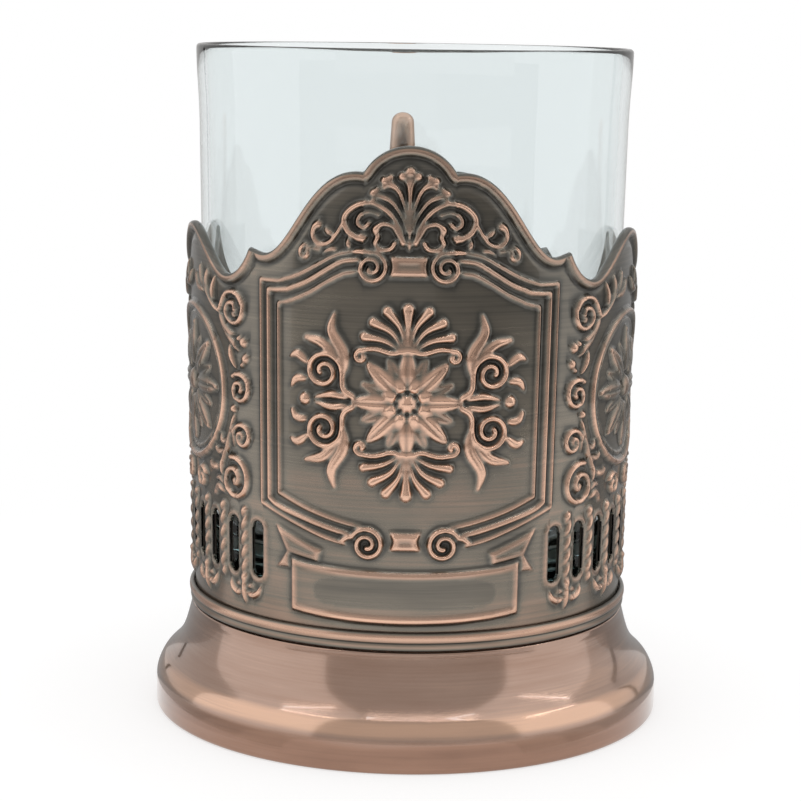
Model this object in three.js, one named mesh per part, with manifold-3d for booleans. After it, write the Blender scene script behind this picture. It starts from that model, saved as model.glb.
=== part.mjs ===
// Tea glass in a stamped copper holder, in millimetres, +Z up, front towards -Y.
// A loose glass tumbler stands in a pierced sleeve with a wavy beaded edge. The sleeve stands on a
// flared foot, a double-beaded ring covers their joint, and an ear handle is riveted on behind.
import * as THREE from 'three';
import { mergeVertices } from 'three/addons/utils/BufferGeometryUtils.js';
import Module from 'manifold-3d';

const wasm = await Module();
wasm.setup();
const { degToRad, lerp } = THREE.MathUtils;

// General values
const touch = 0.3; // gap kept between pieces that touch
const turnSteps = 48; // facets round the turned pieces
const weld = 1e-4; // distance at which mesh corners are one point

// Glass tumbler
const glassHeight = 85.2;
const glassRimRadius = 33.5; // outside, at the lip
const glassFlare = 0.5; // how much wider the lip is than the waist under it
const glassTaper = 1.1; // how much narrower the glass is above its rounded bottom edge
const glassLipLength = 12;
const glassWall = 1.4;
const glassBottom = 11; // thickness of the heavy bottom, whose inside shows half way up the slots
const glassOuterRound = 5; // radius of the bottom edge outside
const glassInnerRound = 5.6; // radius of the bottom corner inside
const glassPlay = 0.8; // radial room between glass and sleeve

// Foot: spun sheet with a flat top flange and a turned-in hem
const footHeight = 16.6;
const footSheet = 0.9;
const footFlare = 5.65; // how far the foot stands out beyond its neck
const footBandTop = 4; // top of the upright band
const footTurn = 8.7; // height where the flare changes from hollow to round
const footTurnOut = 3.1; // distance out from the neck at that height
const footTurnSlope = 50; // degrees from upright at that height
const footNeckLength = 0.8; // straight length under the flange
const footEdgeRound = 0.6;
const hemWidth = 3; // flat ring that the foot stands on
const flangeWidth = 6; // flat ring that carries the floor disc

// Floor disc that the glass stands on
const floorThickness = 0.9;
const floorHoleRadius = 4.5;

// Collar ring with a large and a small bead
const collarSheet = 0.3; // wall of the ring behind its beads
const collarUpperBead = 1.5; // height of the beads
const collarLowerBead = 1.1;
const collarUpperProud = 0.35; // how far the beads stand out from the ring's wall
const collarLowerProud = 0.18;

// Sleeve: wall, and the rise of its wavy edge above its lower edge
const sleeveWall = 0.9;
const crestRise = 73.1; // front crest
const notchRise = 69.3; // notch beside the crest's middle lobe
const shoulderRise = 57.1; // end of the crest's shoulder
const cuspRise = 57.6;
const valleyRise = 53.3;
const sideCrestRise = 60;
const rearDrop = 4.5; // how much lower the rear crest is
const rearValleyRise = 48;
const notchAngle = 10.9; // degrees from the middle of the crest
const shoulderAngle = 38.5;
const cuspAngle = 42.2;
const valleyAngle = 51.1;
const sideCrestAngle = 72;
const edgeSteps = 5; // straight pieces in each curve of the edge
const edgeBeadWidth = 1.25;
const edgeBeadProud = 0.55;

// Pierced arcade: slots with a raised rib between each two
const slotsPerSide = 12;
const slotPitch = 9.05; // degrees
const slotWidth = 2.3;
const slotLength = 8.6;
const slotRise = 8.5; // lower end, above the sleeve's lower edge
const ribWidth = 1.3;
const ribOverrun = 0.8; // how far a rib passes the slots at each end
const ribProud = 0.5;

// Raised ornament on the sleeve, heights above its lower edge
const reliefRoot = 0.4; // how deep raised ornament is rooted in the wall
const frameHalfWidth = 21.5;
const frameBand = 3.3;
const frameTopRise = 58.4;
const frameShoulderRise = 53.5;
const frameCornerRise = 20;
const frameBottomRise = 15.1;
const frameMiddle = 8; // half-width of the level middle stretch
const frameCornerFlat = 3; // level stretch beside each upper corner
const frameProud = 0.45;
const voluteRadius = 2.2;
const voluteOffset = 5.5;
const voluteProud = 0.7;
const bannerHalfWidth = 17.3;
const bannerRise = 3.9;
const bannerHeight = 7.7;
const bannerSag = 0.9; // how far the lower edge hangs in the middle
const bannerTail = 2; // how far a tail's tips pass the banner's end
const bannerTailHeight = 6.8; // distance between the two tips of a tail
const bannerTailNotch = 2.7; // height of the notch above the lower tip
const bannerFold = 5.5; // width of the fold at each end
const bannerProud = 0.5;
const medallionRadius = 12.1;
const medallionBand = 1.1;
const medallionRise = 35.8; // centre
const medallionProud = 0.5;

// Scrolls, leaves and rosettes on the sleeve. Places are distances round the wall from the front's
// middle and heights above the lower edge; a scroll's angles are in degrees, its turn is 1 or -1.
const scrollBand = 0.95;
const scrollSweep = 430;
const scrollEye = 0.3; // size of the eye against the whole scroll
const scrollSteps = 8;
const scrollProud = 0.7;
const leafSwell = 0.4; // share of a leaf's length at which it is widest
const leafProud = 0.65;
const petalCount = 8;
const petalWaist = 0.55; // reach of the notches between petals against the petals
const rosetteRise = 36.5; // middle of the shield
const rosetteReach = 7.6;
const rosetteProud = 0.65;
const bossRadius = 1.8;
const bossProud = 1;
const medallionPetalReach = 8.6;
const fanTips = 7; // palmettes above and below the rosette
const fanOffset = 7.9;
const fanReach = 5.8;
const fanStart = 20; // angle of the first tip
const crestFanTips = 5;
const crestFanRise = 60.3;
const crestFanReach = 8.4;
const crestFanStart = 50;
const shieldScroll = { across: 12.2, rise: 40.7, radius: 2.8, start: 180, turn: -1 };
const shieldLeaf = { from: [9.4, 42.4], to: [10.6, 48.6], width: 1.9 };
const crestScroll = { across: 6.9, rise: 62.3, radius: 2.5, start: 175, turn: -1 };
const sideScrolls = [
  { across: 28.9, rise: 48.1, radius: 2.95, start: 8, turn: 1 },
  { across: 27.5, rise: 36.4, radius: 2.35, start: 50, turn: 1 },
  { across: 28.9, rise: 22.7, radius: 3.35, start: 75, turn: 1 },
];
const sideLeaves = [
  { from: [36.2, 50.3], to: [39.2, 53.7], width: 1.6 },
  { from: [29.2, 31.6], to: [33.6, 23.3], width: 1.3 },
];
const rearPanelReach = 19;
const rearPanelGap = 10.5; // half of the gap behind the handle
const rearPanelCut = 3; // cut corners
const rearPanelLow = 21.1;
const rearPanelHigh = 44.1;
const rearPanelBand = 0.9;
const rearScrolls = [
  { across: 27, rise: 24.1, radius: 3, start: -30, turn: 1 },
  { across: 29.8, rise: 38.3, radius: 3.2, start: -40, turn: 1 },
];

// Handle: cast strap on two pads, with a finger-shaped thumb rest
const handleUpperRise = 51; // root of the strap at the upper pad, above the sleeve's lower edge
const handleLowerRise = 13;
const handleReach = 29.35; // middle of the strap beyond the sleeve
const handleWidth = 7;
const handleThickness = 4.6;
const handleSteps = 30;
const handleTurn = 3; // degrees that the handle sits to one side of the middle, seen from above
const padThickness = 1.9;
const padMargin = 1.4; // pad beyond the rivet heads
const padHalfHeight = 6;
const thumbPlace = 0.22; // share of the strap's length where the thumb rest stands
const thumbHeight = 13.6;
const thumbLean = 3.6; // how far it leans towards the cup
const thumbWidth = 4.4;
const thumbThickness = 3.2;
const thumbEnd = 1.8; // height of the rounded end

// Rivets
const rivetShank = 1.1; // radius
const rivetHead = 1.8; // radius
const rivetHeadHeight = 1;
const rivetFlush = 0.15; // how far the inner end stays behind the sleeve's inner face

// Sizes and heights that follow from the values above
const glassWaistRadius = glassRimRadius - glassFlare;
const glassFootRadius = glassWaistRadius - glassTaper;
const sleeveFoot = footHeight + touch;
const crest = sleeveFoot + crestRise;
const floorTop = footHeight + touch + floorThickness;
const glassFoot = floorTop + touch;
const glassRim = glassFoot + glassHeight;
const sleeveFootRadius = glassFootRadius + glassPlay + sleeveWall;
const sleeveCrestRadius = glassWaistRadius + glassPlay + sleeveWall;
const collarTop = sleeveFoot + collarUpperBead + collarLowerBead;
const collarBore = sleeveRadius(collarTop) + touch;
const neckRadius = collarBore + collarSheet;
const footRadius = neckRadius + footFlare;
const rivetOffset = handleWidth / 2 + rivetHead + touch;
const padHalfWidth = rivetOffset + rivetHead + padMargin;
const wallMiddleRadius = (sleeveFootRadius + sleeveCrestRadius) / 2;
const halfRound = Math.PI * wallMiddleRadius;
const medallionAcross = degToRad(sideCrestAngle) * wallMiddleRadius;

// Outside radius of the sleeve's plain wall at a height.
function sleeveRadius(height) {
  return lerp(sleeveFootRadius, sleeveCrestRadius, (height - sleeveFoot) / crestRise);
}

// A geometry with shared corners merged and no empty triangles, its faces pointing out.
function closedBody(geometry) {
  geometry.deleteAttribute('normal');
  geometry.deleteAttribute('uv');
  const merged = mergeVertices(geometry, weld);
  const place = merged.attributes.position;
  const corners = merged.index.array;
  const kept = [];
  const [a, b, c] = [new THREE.Vector3(), new THREE.Vector3(), new THREE.Vector3()];
  let volume = 0;
  for (let i = 0; i < corners.length; i += 3) {
    const [p, q, r] = [corners[i], corners[i + 1], corners[i + 2]];
    if (p === q || q === r || r === p) continue;
    kept.push(p, q, r);
    a.fromBufferAttribute(place, p);
    b.fromBufferAttribute(place, q);
    c.fromBufferAttribute(place, r);
    volume += a.dot(b.cross(c));
  }
  merged.setIndex(volume < 0 ? kept.reverse() : kept);
  return merged;
}

function solid(geometry) {
  const body = closedBody(geometry);
  const vertProperties = new Float32Array(body.attributes.position.array);
  const triVerts = new Uint32Array(body.index.array);
  return new wasm.Manifold(new wasm.Mesh({ numProp: 3, vertProperties, triVerts }));
}

function geometryOf(body) {
  const { vertProperties, triVerts } = body.getMesh();
  const geometry = new THREE.BufferGeometry();
  geometry.setAttribute('position', new THREE.BufferAttribute(vertProperties, 3));
  geometry.setIndex(new THREE.BufferAttribute(triVerts, 1));
  return geometry;
}

// A profile of radius and height turned round the upright axis.
function turned(profile, divisions, steps = turnSteps) {
  const geometry = new THREE.LatheGeometry(profile.getPoints(divisions), steps);
  return closedBody(geometry.rotateX(Math.PI / 2));
}

// The space between two cones that follow the sleeve's wall, at distances from its outer face.
function skin(from, to) {
  const profile = new THREE.Path();
  profile.moveTo(sleeveFootRadius + from, sleeveFoot);
  profile.lineTo(sleeveFootRadius + to, sleeveFoot);
  profile.lineTo(sleeveCrestRadius + to, crest);
  profile.lineTo(sleeveCrestRadius + from, crest);
  profile.closePath();
  return solid(turned(profile, 1));
}

// A flat outline (across, height) pushed out from the axis at an angle round the cup.
function pushedOut(shape, angle, curveSegments) {
  const depth = 2 * sleeveCrestRadius;
  const prism = new THREE.ExtrudeGeometry(shape, { depth, bevelEnabled: false, curveSegments });
  return solid(prism.rotateX(Math.PI / 2).rotateZ(degToRad(angle)));
}

// Joins the right half of an outline to its mirror image, as one closed shape.
function mirrored(half) {
  const left = half.filter((point) => point.x > weld).map((point) => new THREE.Vector2(-point.x, point.y));
  return new THREE.Shape([...half, ...left.reverse()]);
}

function glassGeometry() {
  const profile = new THREE.Path();
  const inside = glassFoot + glassBottom;
  const waist = glassRim - glassLipLength;
  const lip = glassWall / 2;
  const boreRadius = glassFootRadius - glassWall;
  profile.moveTo(0, glassFoot);
  profile.lineTo(glassFootRadius - glassOuterRound, glassFoot);
  profile.absarc(glassFootRadius - glassOuterRound, glassFoot + glassOuterRound, glassOuterRound,
    -Math.PI / 2, 0, false);
  profile.lineTo(glassWaistRadius, waist);
  profile.quadraticCurveTo(glassWaistRadius + (glassRimRadius - glassWaistRadius) / 4,
    waist + glassLipLength / 2, glassRimRadius, glassRim - lip);
  profile.absarc(glassRimRadius - lip, glassRim - lip, lip, 0, Math.PI, false);
  profile.lineTo(glassWaistRadius - glassWall, waist);
  profile.lineTo(boreRadius, inside + glassInnerRound);
  profile.absarc(boreRadius - glassInnerRound, inside + glassInnerRound, glassInnerRound,
    0, -Math.PI / 2, true);
  profile.lineTo(0, inside);
  return turned(profile, 2);
}

// The foot's outer line, moved in by a distance: the same line makes its inner face.
function footLine(profile, inward) {
  const slope = degToRad(footTurnSlope);
  const neckEnd = footHeight - footNeckLength;
  const neck = neckRadius - inward;
  const edge = footRadius - inward;
  const turnX = neckRadius + footTurnOut - inward * Math.cos(slope);
  const turnY = footTurn - inward * Math.sin(slope);
  const pullIn = footTurnOut / 2 / Math.sin(slope);
  const pullOut = (footFlare - footTurnOut) / 2 / Math.sin(slope);
  const drop = footTurn - footBandTop;
  profile.lineTo(neck, neckEnd);
  profile.bezierCurveTo(neck + 0.24 * footTurnOut, lerp(turnY, neckEnd, 0.55),
    turnX - pullIn * Math.sin(slope), turnY + pullIn * Math.cos(slope), turnX, turnY);
  profile.bezierCurveTo(turnX + pullOut * Math.sin(slope), turnY - pullOut * Math.cos(slope),
    edge, footBandTop + 0.4 * drop - inward, edge, footBandTop);
}

function footGeometry() {
  const outer = new THREE.Path();
  outer.moveTo(neckRadius, footHeight);
  footLine(outer, 0);
  outer.lineTo(footRadius, footEdgeRound);
  outer.quadraticCurveTo(footRadius, 0, footRadius - footEdgeRound, 0);
  const inner = new THREE.Path();
  inner.moveTo(neckRadius - footSheet, footHeight - footSheet);
  footLine(inner, footSheet);
  inner.lineTo(footRadius - footSheet, footSheet);
  const hem = footRadius - footSheet - hemWidth;
  const flange = neckRadius - flangeWidth;
  const line = [...outer.getPoints(4), new THREE.Vector2(hem, 0), new THREE.Vector2(hem, footSheet)];
  line.push(...inner.getPoints(4).reverse());
  line.push(new THREE.Vector2(flange, footHeight - footSheet), new THREE.Vector2(flange, footHeight));
  line.push(line[0]);
  const geometry = new THREE.LatheGeometry(line, turnSteps);
  return closedBody(geometry.rotateX(Math.PI / 2));
}

function floorGeometry() {
  const profile = new THREE.Path();
  const edge = sleeveRadius(sleeveFoot) - sleeveWall - touch;
  profile.moveTo(floorHoleRadius, sleeveFoot);
  profile.lineTo(edge, sleeveFoot);
  profile.lineTo(edge, floorTop);
  profile.lineTo(floorHoleRadius, floorTop);
  profile.closePath();
  return turned(profile, 1);
}

function collarGeometry() {
  const profile = new THREE.Path();
  profile.moveTo(collarBore, sleeveFoot);
  profile.lineTo(neckRadius, sleeveFoot);
  profile.absellipse(neckRadius, sleeveFoot + collarLowerBead / 2, collarLowerProud, collarLowerBead / 2,
    -Math.PI / 2, Math.PI / 2, false, 0);
  profile.absellipse(neckRadius, collarTop - collarUpperBead / 2, collarUpperProud, collarUpperBead / 2,
    -Math.PI / 2, Math.PI / 2, false, 0);
  profile.lineTo(collarBore, collarTop);
  profile.closePath();
  return turned(profile, 2);
}

// A dip of the edge from a cusp down to the level middle of a valley.
function dip(path, fromAngle, fromHeight, toAngle, toHeight) {
  const across = toAngle - fromAngle;
  const down = fromHeight - toHeight;
  path.bezierCurveTo(fromAngle + 0.21 * across, fromHeight - 0.58 * down,
    toAngle - 0.415 * across, toHeight, toAngle, toHeight);
}

function flipped(points, middle, drop = 0) {
  return points.map((point) => new THREE.Vector2(2 * middle - point.x, point.y - drop)).reverse();
}

// Half of the sleeve's edge from the front crest to the rear crest, as (angle, height) points.
function halfEdge() {
  const notch = sleeveFoot + notchRise;
  const shoulder = sleeveFoot + shoulderRise;
  const cusp = sleeveFoot + cuspRise;
  const valley = sleeveFoot + valleyRise;
  const sideCrest = sleeveFoot + sideCrestRise;
  const across = shoulderAngle - notchAngle;
  const down = notch - shoulder;
  const front = new THREE.Path();
  front.moveTo(0, crest);
  front.bezierCurveTo(0.41 * notchAngle, crest, 0.8 * notchAngle, lerp(notch, crest, 0.62),
    notchAngle, notch);
  front.bezierCurveTo(notchAngle + 0.515 * across, notch + 0.1 * down,
    notchAngle + 0.667 * across, notch - 1.08 * down, shoulderAngle, shoulder);
  front.lineTo(cuspAngle, cusp);
  const side = new THREE.Path();
  side.moveTo(cuspAngle, cusp);
  dip(side, cuspAngle, cusp, valleyAngle, valley);
  const climb = sideCrestAngle - valleyAngle;
  side.bezierCurveTo(valleyAngle + 0.28 * climb, valley, sideCrestAngle - 0.4 * climb, sideCrest,
    sideCrestAngle, sideCrest);
  const farCusp = 2 * sideCrestAngle - cuspAngle;
  const rearCusp = 180 - cuspAngle;
  const rearValleyAngle = (farCusp + rearCusp) / 2;
  const rear = new THREE.Path();
  rear.moveTo(rearCusp, cusp - rearDrop);
  dip(rear, rearCusp, cusp - rearDrop, rearValleyAngle, sleeveFoot + rearValleyRise);
  const far = new THREE.Path();
  far.moveTo(farCusp, cusp);
  dip(far, farCusp, cusp, rearValleyAngle, sleeveFoot + rearValleyRise);
  const frontPoints = front.getPoints(edgeSteps);
  const sidePoints = side.getPoints(edgeSteps);
  return [
    ...frontPoints,
    ...sidePoints.slice(1),
    ...flipped(sidePoints, sideCrestAngle).slice(1),
    ...far.getPoints(edgeSteps).slice(1),
    ...rear.getPoints(edgeSteps).reverse().slice(1),
    ...flipped(frontPoints, 90, rearDrop).slice(1),
  ];
}

// The plain wall with its beaded edge: one section for each point of the edge, joined all round.
function sleeveShell() {
  const half = halfEdge();
  const edge = [...half, ...flipped(half, 180).slice(1, -1)];
  const places = [];
  const corners = [];
  edge.forEach((point, i) => {
    const before = edge[(i + edge.length - 1) % edge.length];
    const after = edge[(i + 1) % edge.length];
    const turn = degToRad((after.x - before.x + 720) % 360);
    const slope = (after.y - before.y) / (turn * sleeveRadius(point.y));
    const bead = edgeBeadWidth * Math.hypot(1, slope);
    const radius = sleeveRadius(point.y);
    const section = [
      [sleeveFootRadius - sleeveWall, sleeveFoot],
      [sleeveFootRadius, sleeveFoot],
      [sleeveRadius(point.y - bead), point.y - bead],
      [radius + edgeBeadProud, point.y - 0.7 * bead],
      [radius + edgeBeadProud, point.y - 0.25 * bead],
      [radius, point.y],
      [radius - sleeveWall, point.y],
    ];
    const angle = degToRad(point.x);
    const next = ((i + 1) % edge.length) * section.length;
    section.forEach(([r, z], j) => {
      places.push(r * Math.sin(angle), -r * Math.cos(angle), z);
      const here = i * section.length;
      const k = (j + 1) % section.length;
      corners.push(here + j, next + j, next + k, here + j, next + k, here + k);
    });
  });
  const geometry = new THREE.BufferGeometry();
  geometry.setAttribute('position', new THREE.Float32BufferAttribute(places, 3));
  geometry.setIndex(corners);
  return solid(geometry);
}

// The shield frame's outline, drawn in by a distance all round.
function frameOutline(inset) {
  const half = frameHalfWidth - inset;
  const top = sleeveFoot + frameTopRise - inset;
  const shoulder = sleeveFoot + frameShoulderRise - inset;
  const corner = sleeveFoot + frameCornerRise + 0.6 * inset;
  const bottom = sleeveFoot + frameBottomRise + inset;
  const bend = half - frameCornerFlat;
  const right = new THREE.Path();
  right.moveTo(0, bottom);
  right.lineTo(frameMiddle, bottom);
  right.lineTo(half, corner);
  right.lineTo(half, shoulder);
  right.lineTo(bend, shoulder);
  right.bezierCurveTo(lerp(bend, frameMiddle, 0.5), shoulder, lerp(frameMiddle, bend, 0.4), top,
    frameMiddle, top);
  right.lineTo(0, top);
  return mirrored(right.getPoints(6));
}

function frameShape() {
  const shape = frameOutline(0);
  shape.holes.push(new THREE.Path(frameOutline(frameBand).getPoints()));
  return shape;
}

// Ribbon with a bare panel and a notched tail at each end.
function bannerShape() {
  const low = sleeveFoot + bannerRise;
  const high = low + bannerHeight;
  const tip = bannerHalfWidth + bannerTail;
  const tailFoot = high - bannerTail;
  return mirrored([
    new THREE.Vector2(0, low - bannerSag),
    new THREE.Vector2(bannerHalfWidth, low),
    new THREE.Vector2(bannerHalfWidth, tailFoot),
    new THREE.Vector2(tip, tailFoot),
    new THREE.Vector2(tip - bannerTail / 2, tailFoot + bannerTailNotch),
    new THREE.Vector2(tip, tailFoot + bannerTailHeight),
    new THREE.Vector2(bannerHalfWidth - bannerFold, high + bannerTail),
    new THREE.Vector2(bannerHalfWidth - bannerFold, high),
    new THREE.Vector2(0, high),
  ]);
}

function disc(x, y, radius) {
  const shape = new THREE.Shape();
  shape.absarc(x, y, radius, 0, 2 * Math.PI, false);
  return shape;
}

function ringShape(y, radius, band) {
  const shape = disc(0, y, radius);
  shape.holes.push(new THREE.Path(disc(0, y, radius - band).getPoints(12)));
  return shape;
}

// A band that winds into an eye, with its middle at the origin.
function scrollShape({ radius, start, turn }) {
  const outer = [];
  const inner = [];
  for (let i = 0; i <= scrollSteps; i += 1) {
    const share = i / scrollSteps;
    const angle = degToRad(start + turn * scrollSweep * share);
    const middle = radius * (1 - (1 - scrollEye) * share);
    const half = scrollBand / 2;
    outer.push(new THREE.Vector2((middle + half) * Math.cos(angle), (middle + half) * Math.sin(angle)));
    inner.push(new THREE.Vector2((middle - half) * Math.cos(angle), (middle - half) * Math.sin(angle)));
  }
  return new THREE.Shape([...outer, ...inner.reverse()]);
}

// A leaf from its root to its tip, drawn about its root.
function leafShape({ from, to, width }) {
  const tip = new THREE.Vector2(to[0] - from[0], to[1] - from[1]);
  const aside = new THREE.Vector2(-tip.y, tip.x).setLength(width / 2);
  const swell = tip.clone().multiplyScalar(leafSwell);
  return new THREE.Shape([
    new THREE.Vector2(0, 0), swell.clone().sub(aside), tip, swell.clone().add(aside),
  ]);
}

// Petals in a fan round a point at a height, from the first tip's angle to the last one's.
function fanPoints(y, reach, tips, first, last) {
  const points = [];
  const step = (last - first) / (tips - 1);
  for (let i = 0; i < 2 * tips - 1; i += 1) {
    const angle = degToRad(first + (i * step) / 2);
    const out = i % 2 === 0 ? reach : petalWaist * reach;
    points.push(new THREE.Vector2(out * Math.cos(angle), y + out * Math.sin(angle)));
  }
  return points;
}

function rosetteShape(y, reach) {
  const round = fanPoints(y, reach, petalCount + 1, 0, 360);
  return new THREE.Shape(round.slice(0, -1));
}

// One side of the moulding behind the handle, on a line drawn in by a distance.
function panelLine(inset) {
  const reach = rearPanelReach - inset;
  const low = sleeveFoot + rearPanelLow + inset;
  const high = sleeveFoot + rearPanelHigh - inset;
  return [
    new THREE.Vector2(rearPanelGap, low),
    new THREE.Vector2(reach - rearPanelCut, low),
    new THREE.Vector2(reach, low + rearPanelCut),
    new THREE.Vector2(reach, high - rearPanelCut),
    new THREE.Vector2(reach - rearPanelCut, high),
    new THREE.Vector2(rearPanelGap, high),
  ];
}

function slotShape() {
  const half = slotWidth / 2;
  const low = sleeveFoot + slotRise;
  const shape = new THREE.Shape();
  shape.absarc(0, low + half, half, Math.PI, 2 * Math.PI, false);
  shape.absarc(0, low + slotLength - half, half, 0, Math.PI, false);
  shape.closePath();
  return shape;
}

function ribShape() {
  const half = ribWidth / 2;
  const low = sleeveFoot + slotRise - ribOverrun;
  const high = sleeveFoot + slotRise + slotLength + ribOverrun;
  return new THREE.Shape([
    new THREE.Vector2(-half, low),
    new THREE.Vector2(half, low),
    new THREE.Vector2(half, high),
    new THREE.Vector2(-half, high),
  ]);
}

// Angles of the slots on the right side, spread evenly about the side of the cup.
function arcadeAngles(count) {
  return Array.from({ length: count }, (_, i) => 90 + (i - (count - 1) / 2) * slotPitch);
}

// Every rivet's angle round the cup and its height.
function rivetPlaces() {
  const turn = (height) => THREE.MathUtils.radToDeg(Math.asin(rivetOffset / sleeveRadius(height)));
  const upper = sleeveFoot + handleUpperRise;
  const lower = sleeveFoot + handleLowerRise;
  return [
    { name: 'handle_rivet_upper_left', angle: turn(upper), height: upper },
    { name: 'handle_rivet_upper_right', angle: -turn(upper), height: upper },
    { name: 'handle_rivet_lower_left', angle: turn(lower), height: lower },
    { name: 'handle_rivet_lower_right', angle: -turn(lower), height: lower },
  ];
}

function rivetHole({ angle, height }, turn) {
  return pushedOut(disc(0, height, rivetShank + touch), 180 + angle + turn, 5);
}

// A small flat-topped shape at a place on the wall; with mirror -1 it is its own mirror image.
function smallRelief(shape, across, rise, mirror, proud) {
  const height = sleeveFoot + rise;
  const points = shape.getPoints().map((p) => new THREE.Vector2(mirror * p.x, height + p.y));
  const outline = new THREE.Shape(mirror < 0 ? points.reverse() : points);
  const prism = new THREE.ExtrudeGeometry(outline, { depth: reliefRoot + proud, bevelEnabled: false });
  prism.translate(0, 0, sleeveRadius(height) - reliefRoot).rotateX(Math.PI / 2);
  return solid(prism.rotateZ(across / wallMiddleRadius));
}

// Every scroll and leaf of the sleeve. The same quarter is used above and below the rosette, and the
// same side ornament before and behind each medallion.
function smallReliefs() {
  const found = [];
  const scrollAt = (scroll, across, rise, mirror) => {
    found.push(smallRelief(scrollShape(scroll), across, rise, mirror, scrollProud));
  };
  const leafAt = (leaf, across, mirror) => {
    found.push(smallRelief(leafShape(leaf), across, leaf.from[1], mirror, leafProud));
  };
  for (const side of [-1, 1]) {
    scrollAt(crestScroll, side * crestScroll.across, crestScroll.rise, side);
    for (const upright of [-1, 1]) {
      const flip = ([x, y]) => [x, rosetteRise + upright * (y - rosetteRise)];
      const [across, rise] = flip([shieldScroll.across, shieldScroll.rise]);
      const { radius, start, turn } = shieldScroll;
      scrollAt({ radius, start: upright * start, turn: upright * turn }, side * across, rise, side);
      const leaf = { ...shieldLeaf, from: flip(shieldLeaf.from), to: flip(shieldLeaf.to) };
      leafAt(leaf, side * leaf.from[0], side);
    }
    for (const mirror of [-1, 1]) {
      const place = (across) => side * (medallionAcross + mirror * (medallionAcross - across));
      sideScrolls.forEach((scroll) => scrollAt(scroll, place(scroll.across), scroll.rise, -side * mirror));
      sideLeaves.forEach((leaf) => leafAt(leaf, place(leaf.from[0]), -side * mirror));
    }
    rearScrolls.forEach((scroll) => scrollAt(scroll, side * (halfRound - scroll.across), scroll.rise, -side));
  }
  return found;
}

// A palmette: petals in a fan over a point of the front's middle.
function palmetteShape(y, reach, tips, first, last) {
  return new THREE.Shape([new THREE.Vector2(0, y), ...fanPoints(y, reach, tips, first, last)]);
}

// One half of the moulding behind the handle, to the right or to the left.
function panelShape(side) {
  const band = [...panelLine(-rearPanelBand / 2), ...panelLine(rearPanelBand / 2).reverse()];
  const points = band.map((point) => new THREE.Vector2(side * point.x, point.y));
  return new THREE.Shape(side < 0 ? points.reverse() : points);
}

function sleeveGeometry() {
  let body = sleeveShell();
  const raise = (shape, angle, proud, curveSegments) => {
    const relief = pushedOut(shape, angle, curveSegments).intersect(skin(-reliefRoot, proud));
    body = body.add(relief);
  };
  raise(frameShape(), 0, frameProud, 6);
  const frameLow = sleeveFoot + frameBottomRise + frameBand / 2;
  const frameHigh = sleeveFoot + frameTopRise - frameBand / 2;
  for (const side of [-1, 1]) {
    raise(disc(side * voluteOffset, frameLow, voluteRadius), 0, voluteProud, 5);
    raise(disc(side * voluteOffset, frameHigh, voluteRadius), 0, voluteProud, 5);
  }
  raise(bannerShape(), 0, bannerProud, 1);
  for (const side of [-1, 1]) {
    const middle = sleeveFoot + medallionRise;
    const angle = side * sideCrestAngle;
    raise(ringShape(middle, medallionRadius, medallionBand), angle, medallionProud, 12);
    raise(rosetteShape(middle, medallionPetalReach), angle, rosetteProud, 1);
    raise(disc(0, middle, bossRadius), angle, bossProud, 4);
    raise(panelShape(side), 180, medallionProud, 1);
    arcadeAngles(slotsPerSide - 1).forEach((turn) => raise(ribShape(), side * turn, ribProud, 1));
    arcadeAngles(slotsPerSide).forEach((turn) => {
      body = body.subtract(pushedOut(slotShape(), side * turn, 2));
    });
  }
  const heart = sleeveFoot + rosetteRise;
  const crestFoot = sleeveFoot + crestFanRise;
  raise(rosetteShape(heart, rosetteReach), 0, rosetteProud, 1);
  raise(disc(0, heart, bossRadius), 0, bossProud, 4);
  const palmettes = [
    palmetteShape(heart + fanOffset, fanReach, fanTips, fanStart, 180 - fanStart),
    palmetteShape(heart - fanOffset, fanReach, fanTips, 180 + fanStart, 360 - fanStart),
    palmetteShape(crestFoot, crestFanReach, crestFanTips, crestFanStart, 180 - crestFanStart),
  ];
  palmettes.forEach((palmette) => raise(palmette, 0, leafProud, 1));
  smallReliefs().forEach((relief) => {
    body = body.add(relief);
  });
  rivetPlaces().forEach((place) => {
    body = body.subtract(rivetHole(place, handleTurn));
  });
  return geometryOf(body);
}

// Middle line of the handle's strap behind the cup, from the upper pad round to the lower one.
function strapLine() {
  const upper = sleeveFoot + handleUpperRise;
  const lower = sleeveFoot + handleLowerRise;
  const drop = upper - lower;
  const padMiddle = touch + padThickness / 2;
  const point = (share, height) => {
    const distance = padMiddle + share * (handleReach - padMiddle);
    return new THREE.Vector3(0, sleeveRadius(height) + distance, height);
  };
  return new THREE.CatmullRomCurve3([
    point(0, upper),
    point(0.1, upper + 0.01 * drop),
    point(0.34, upper + 0.15 * drop),
    point(0.64, upper + 0.19 * drop),
    point(0.91, upper + 0.03 * drop),
    point(1, upper - 0.26 * drop),
    point(0.88, lower + 0.4 * drop),
    point(0.55, lower + 0.15 * drop),
    point(0.26, lower + 0.03 * drop),
    point(0.1, lower),
    point(0, lower),
  ]);
}

function swept(line, width, thickness, steps) {
  const section = new THREE.Shape();
  section.absellipse(0, 0, width / 2, thickness / 2, 0, 2 * Math.PI, false, 0);
  return solid(new THREE.ExtrudeGeometry(section, { steps, extrudePath: line, curveSegments: 6 }));
}

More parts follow.
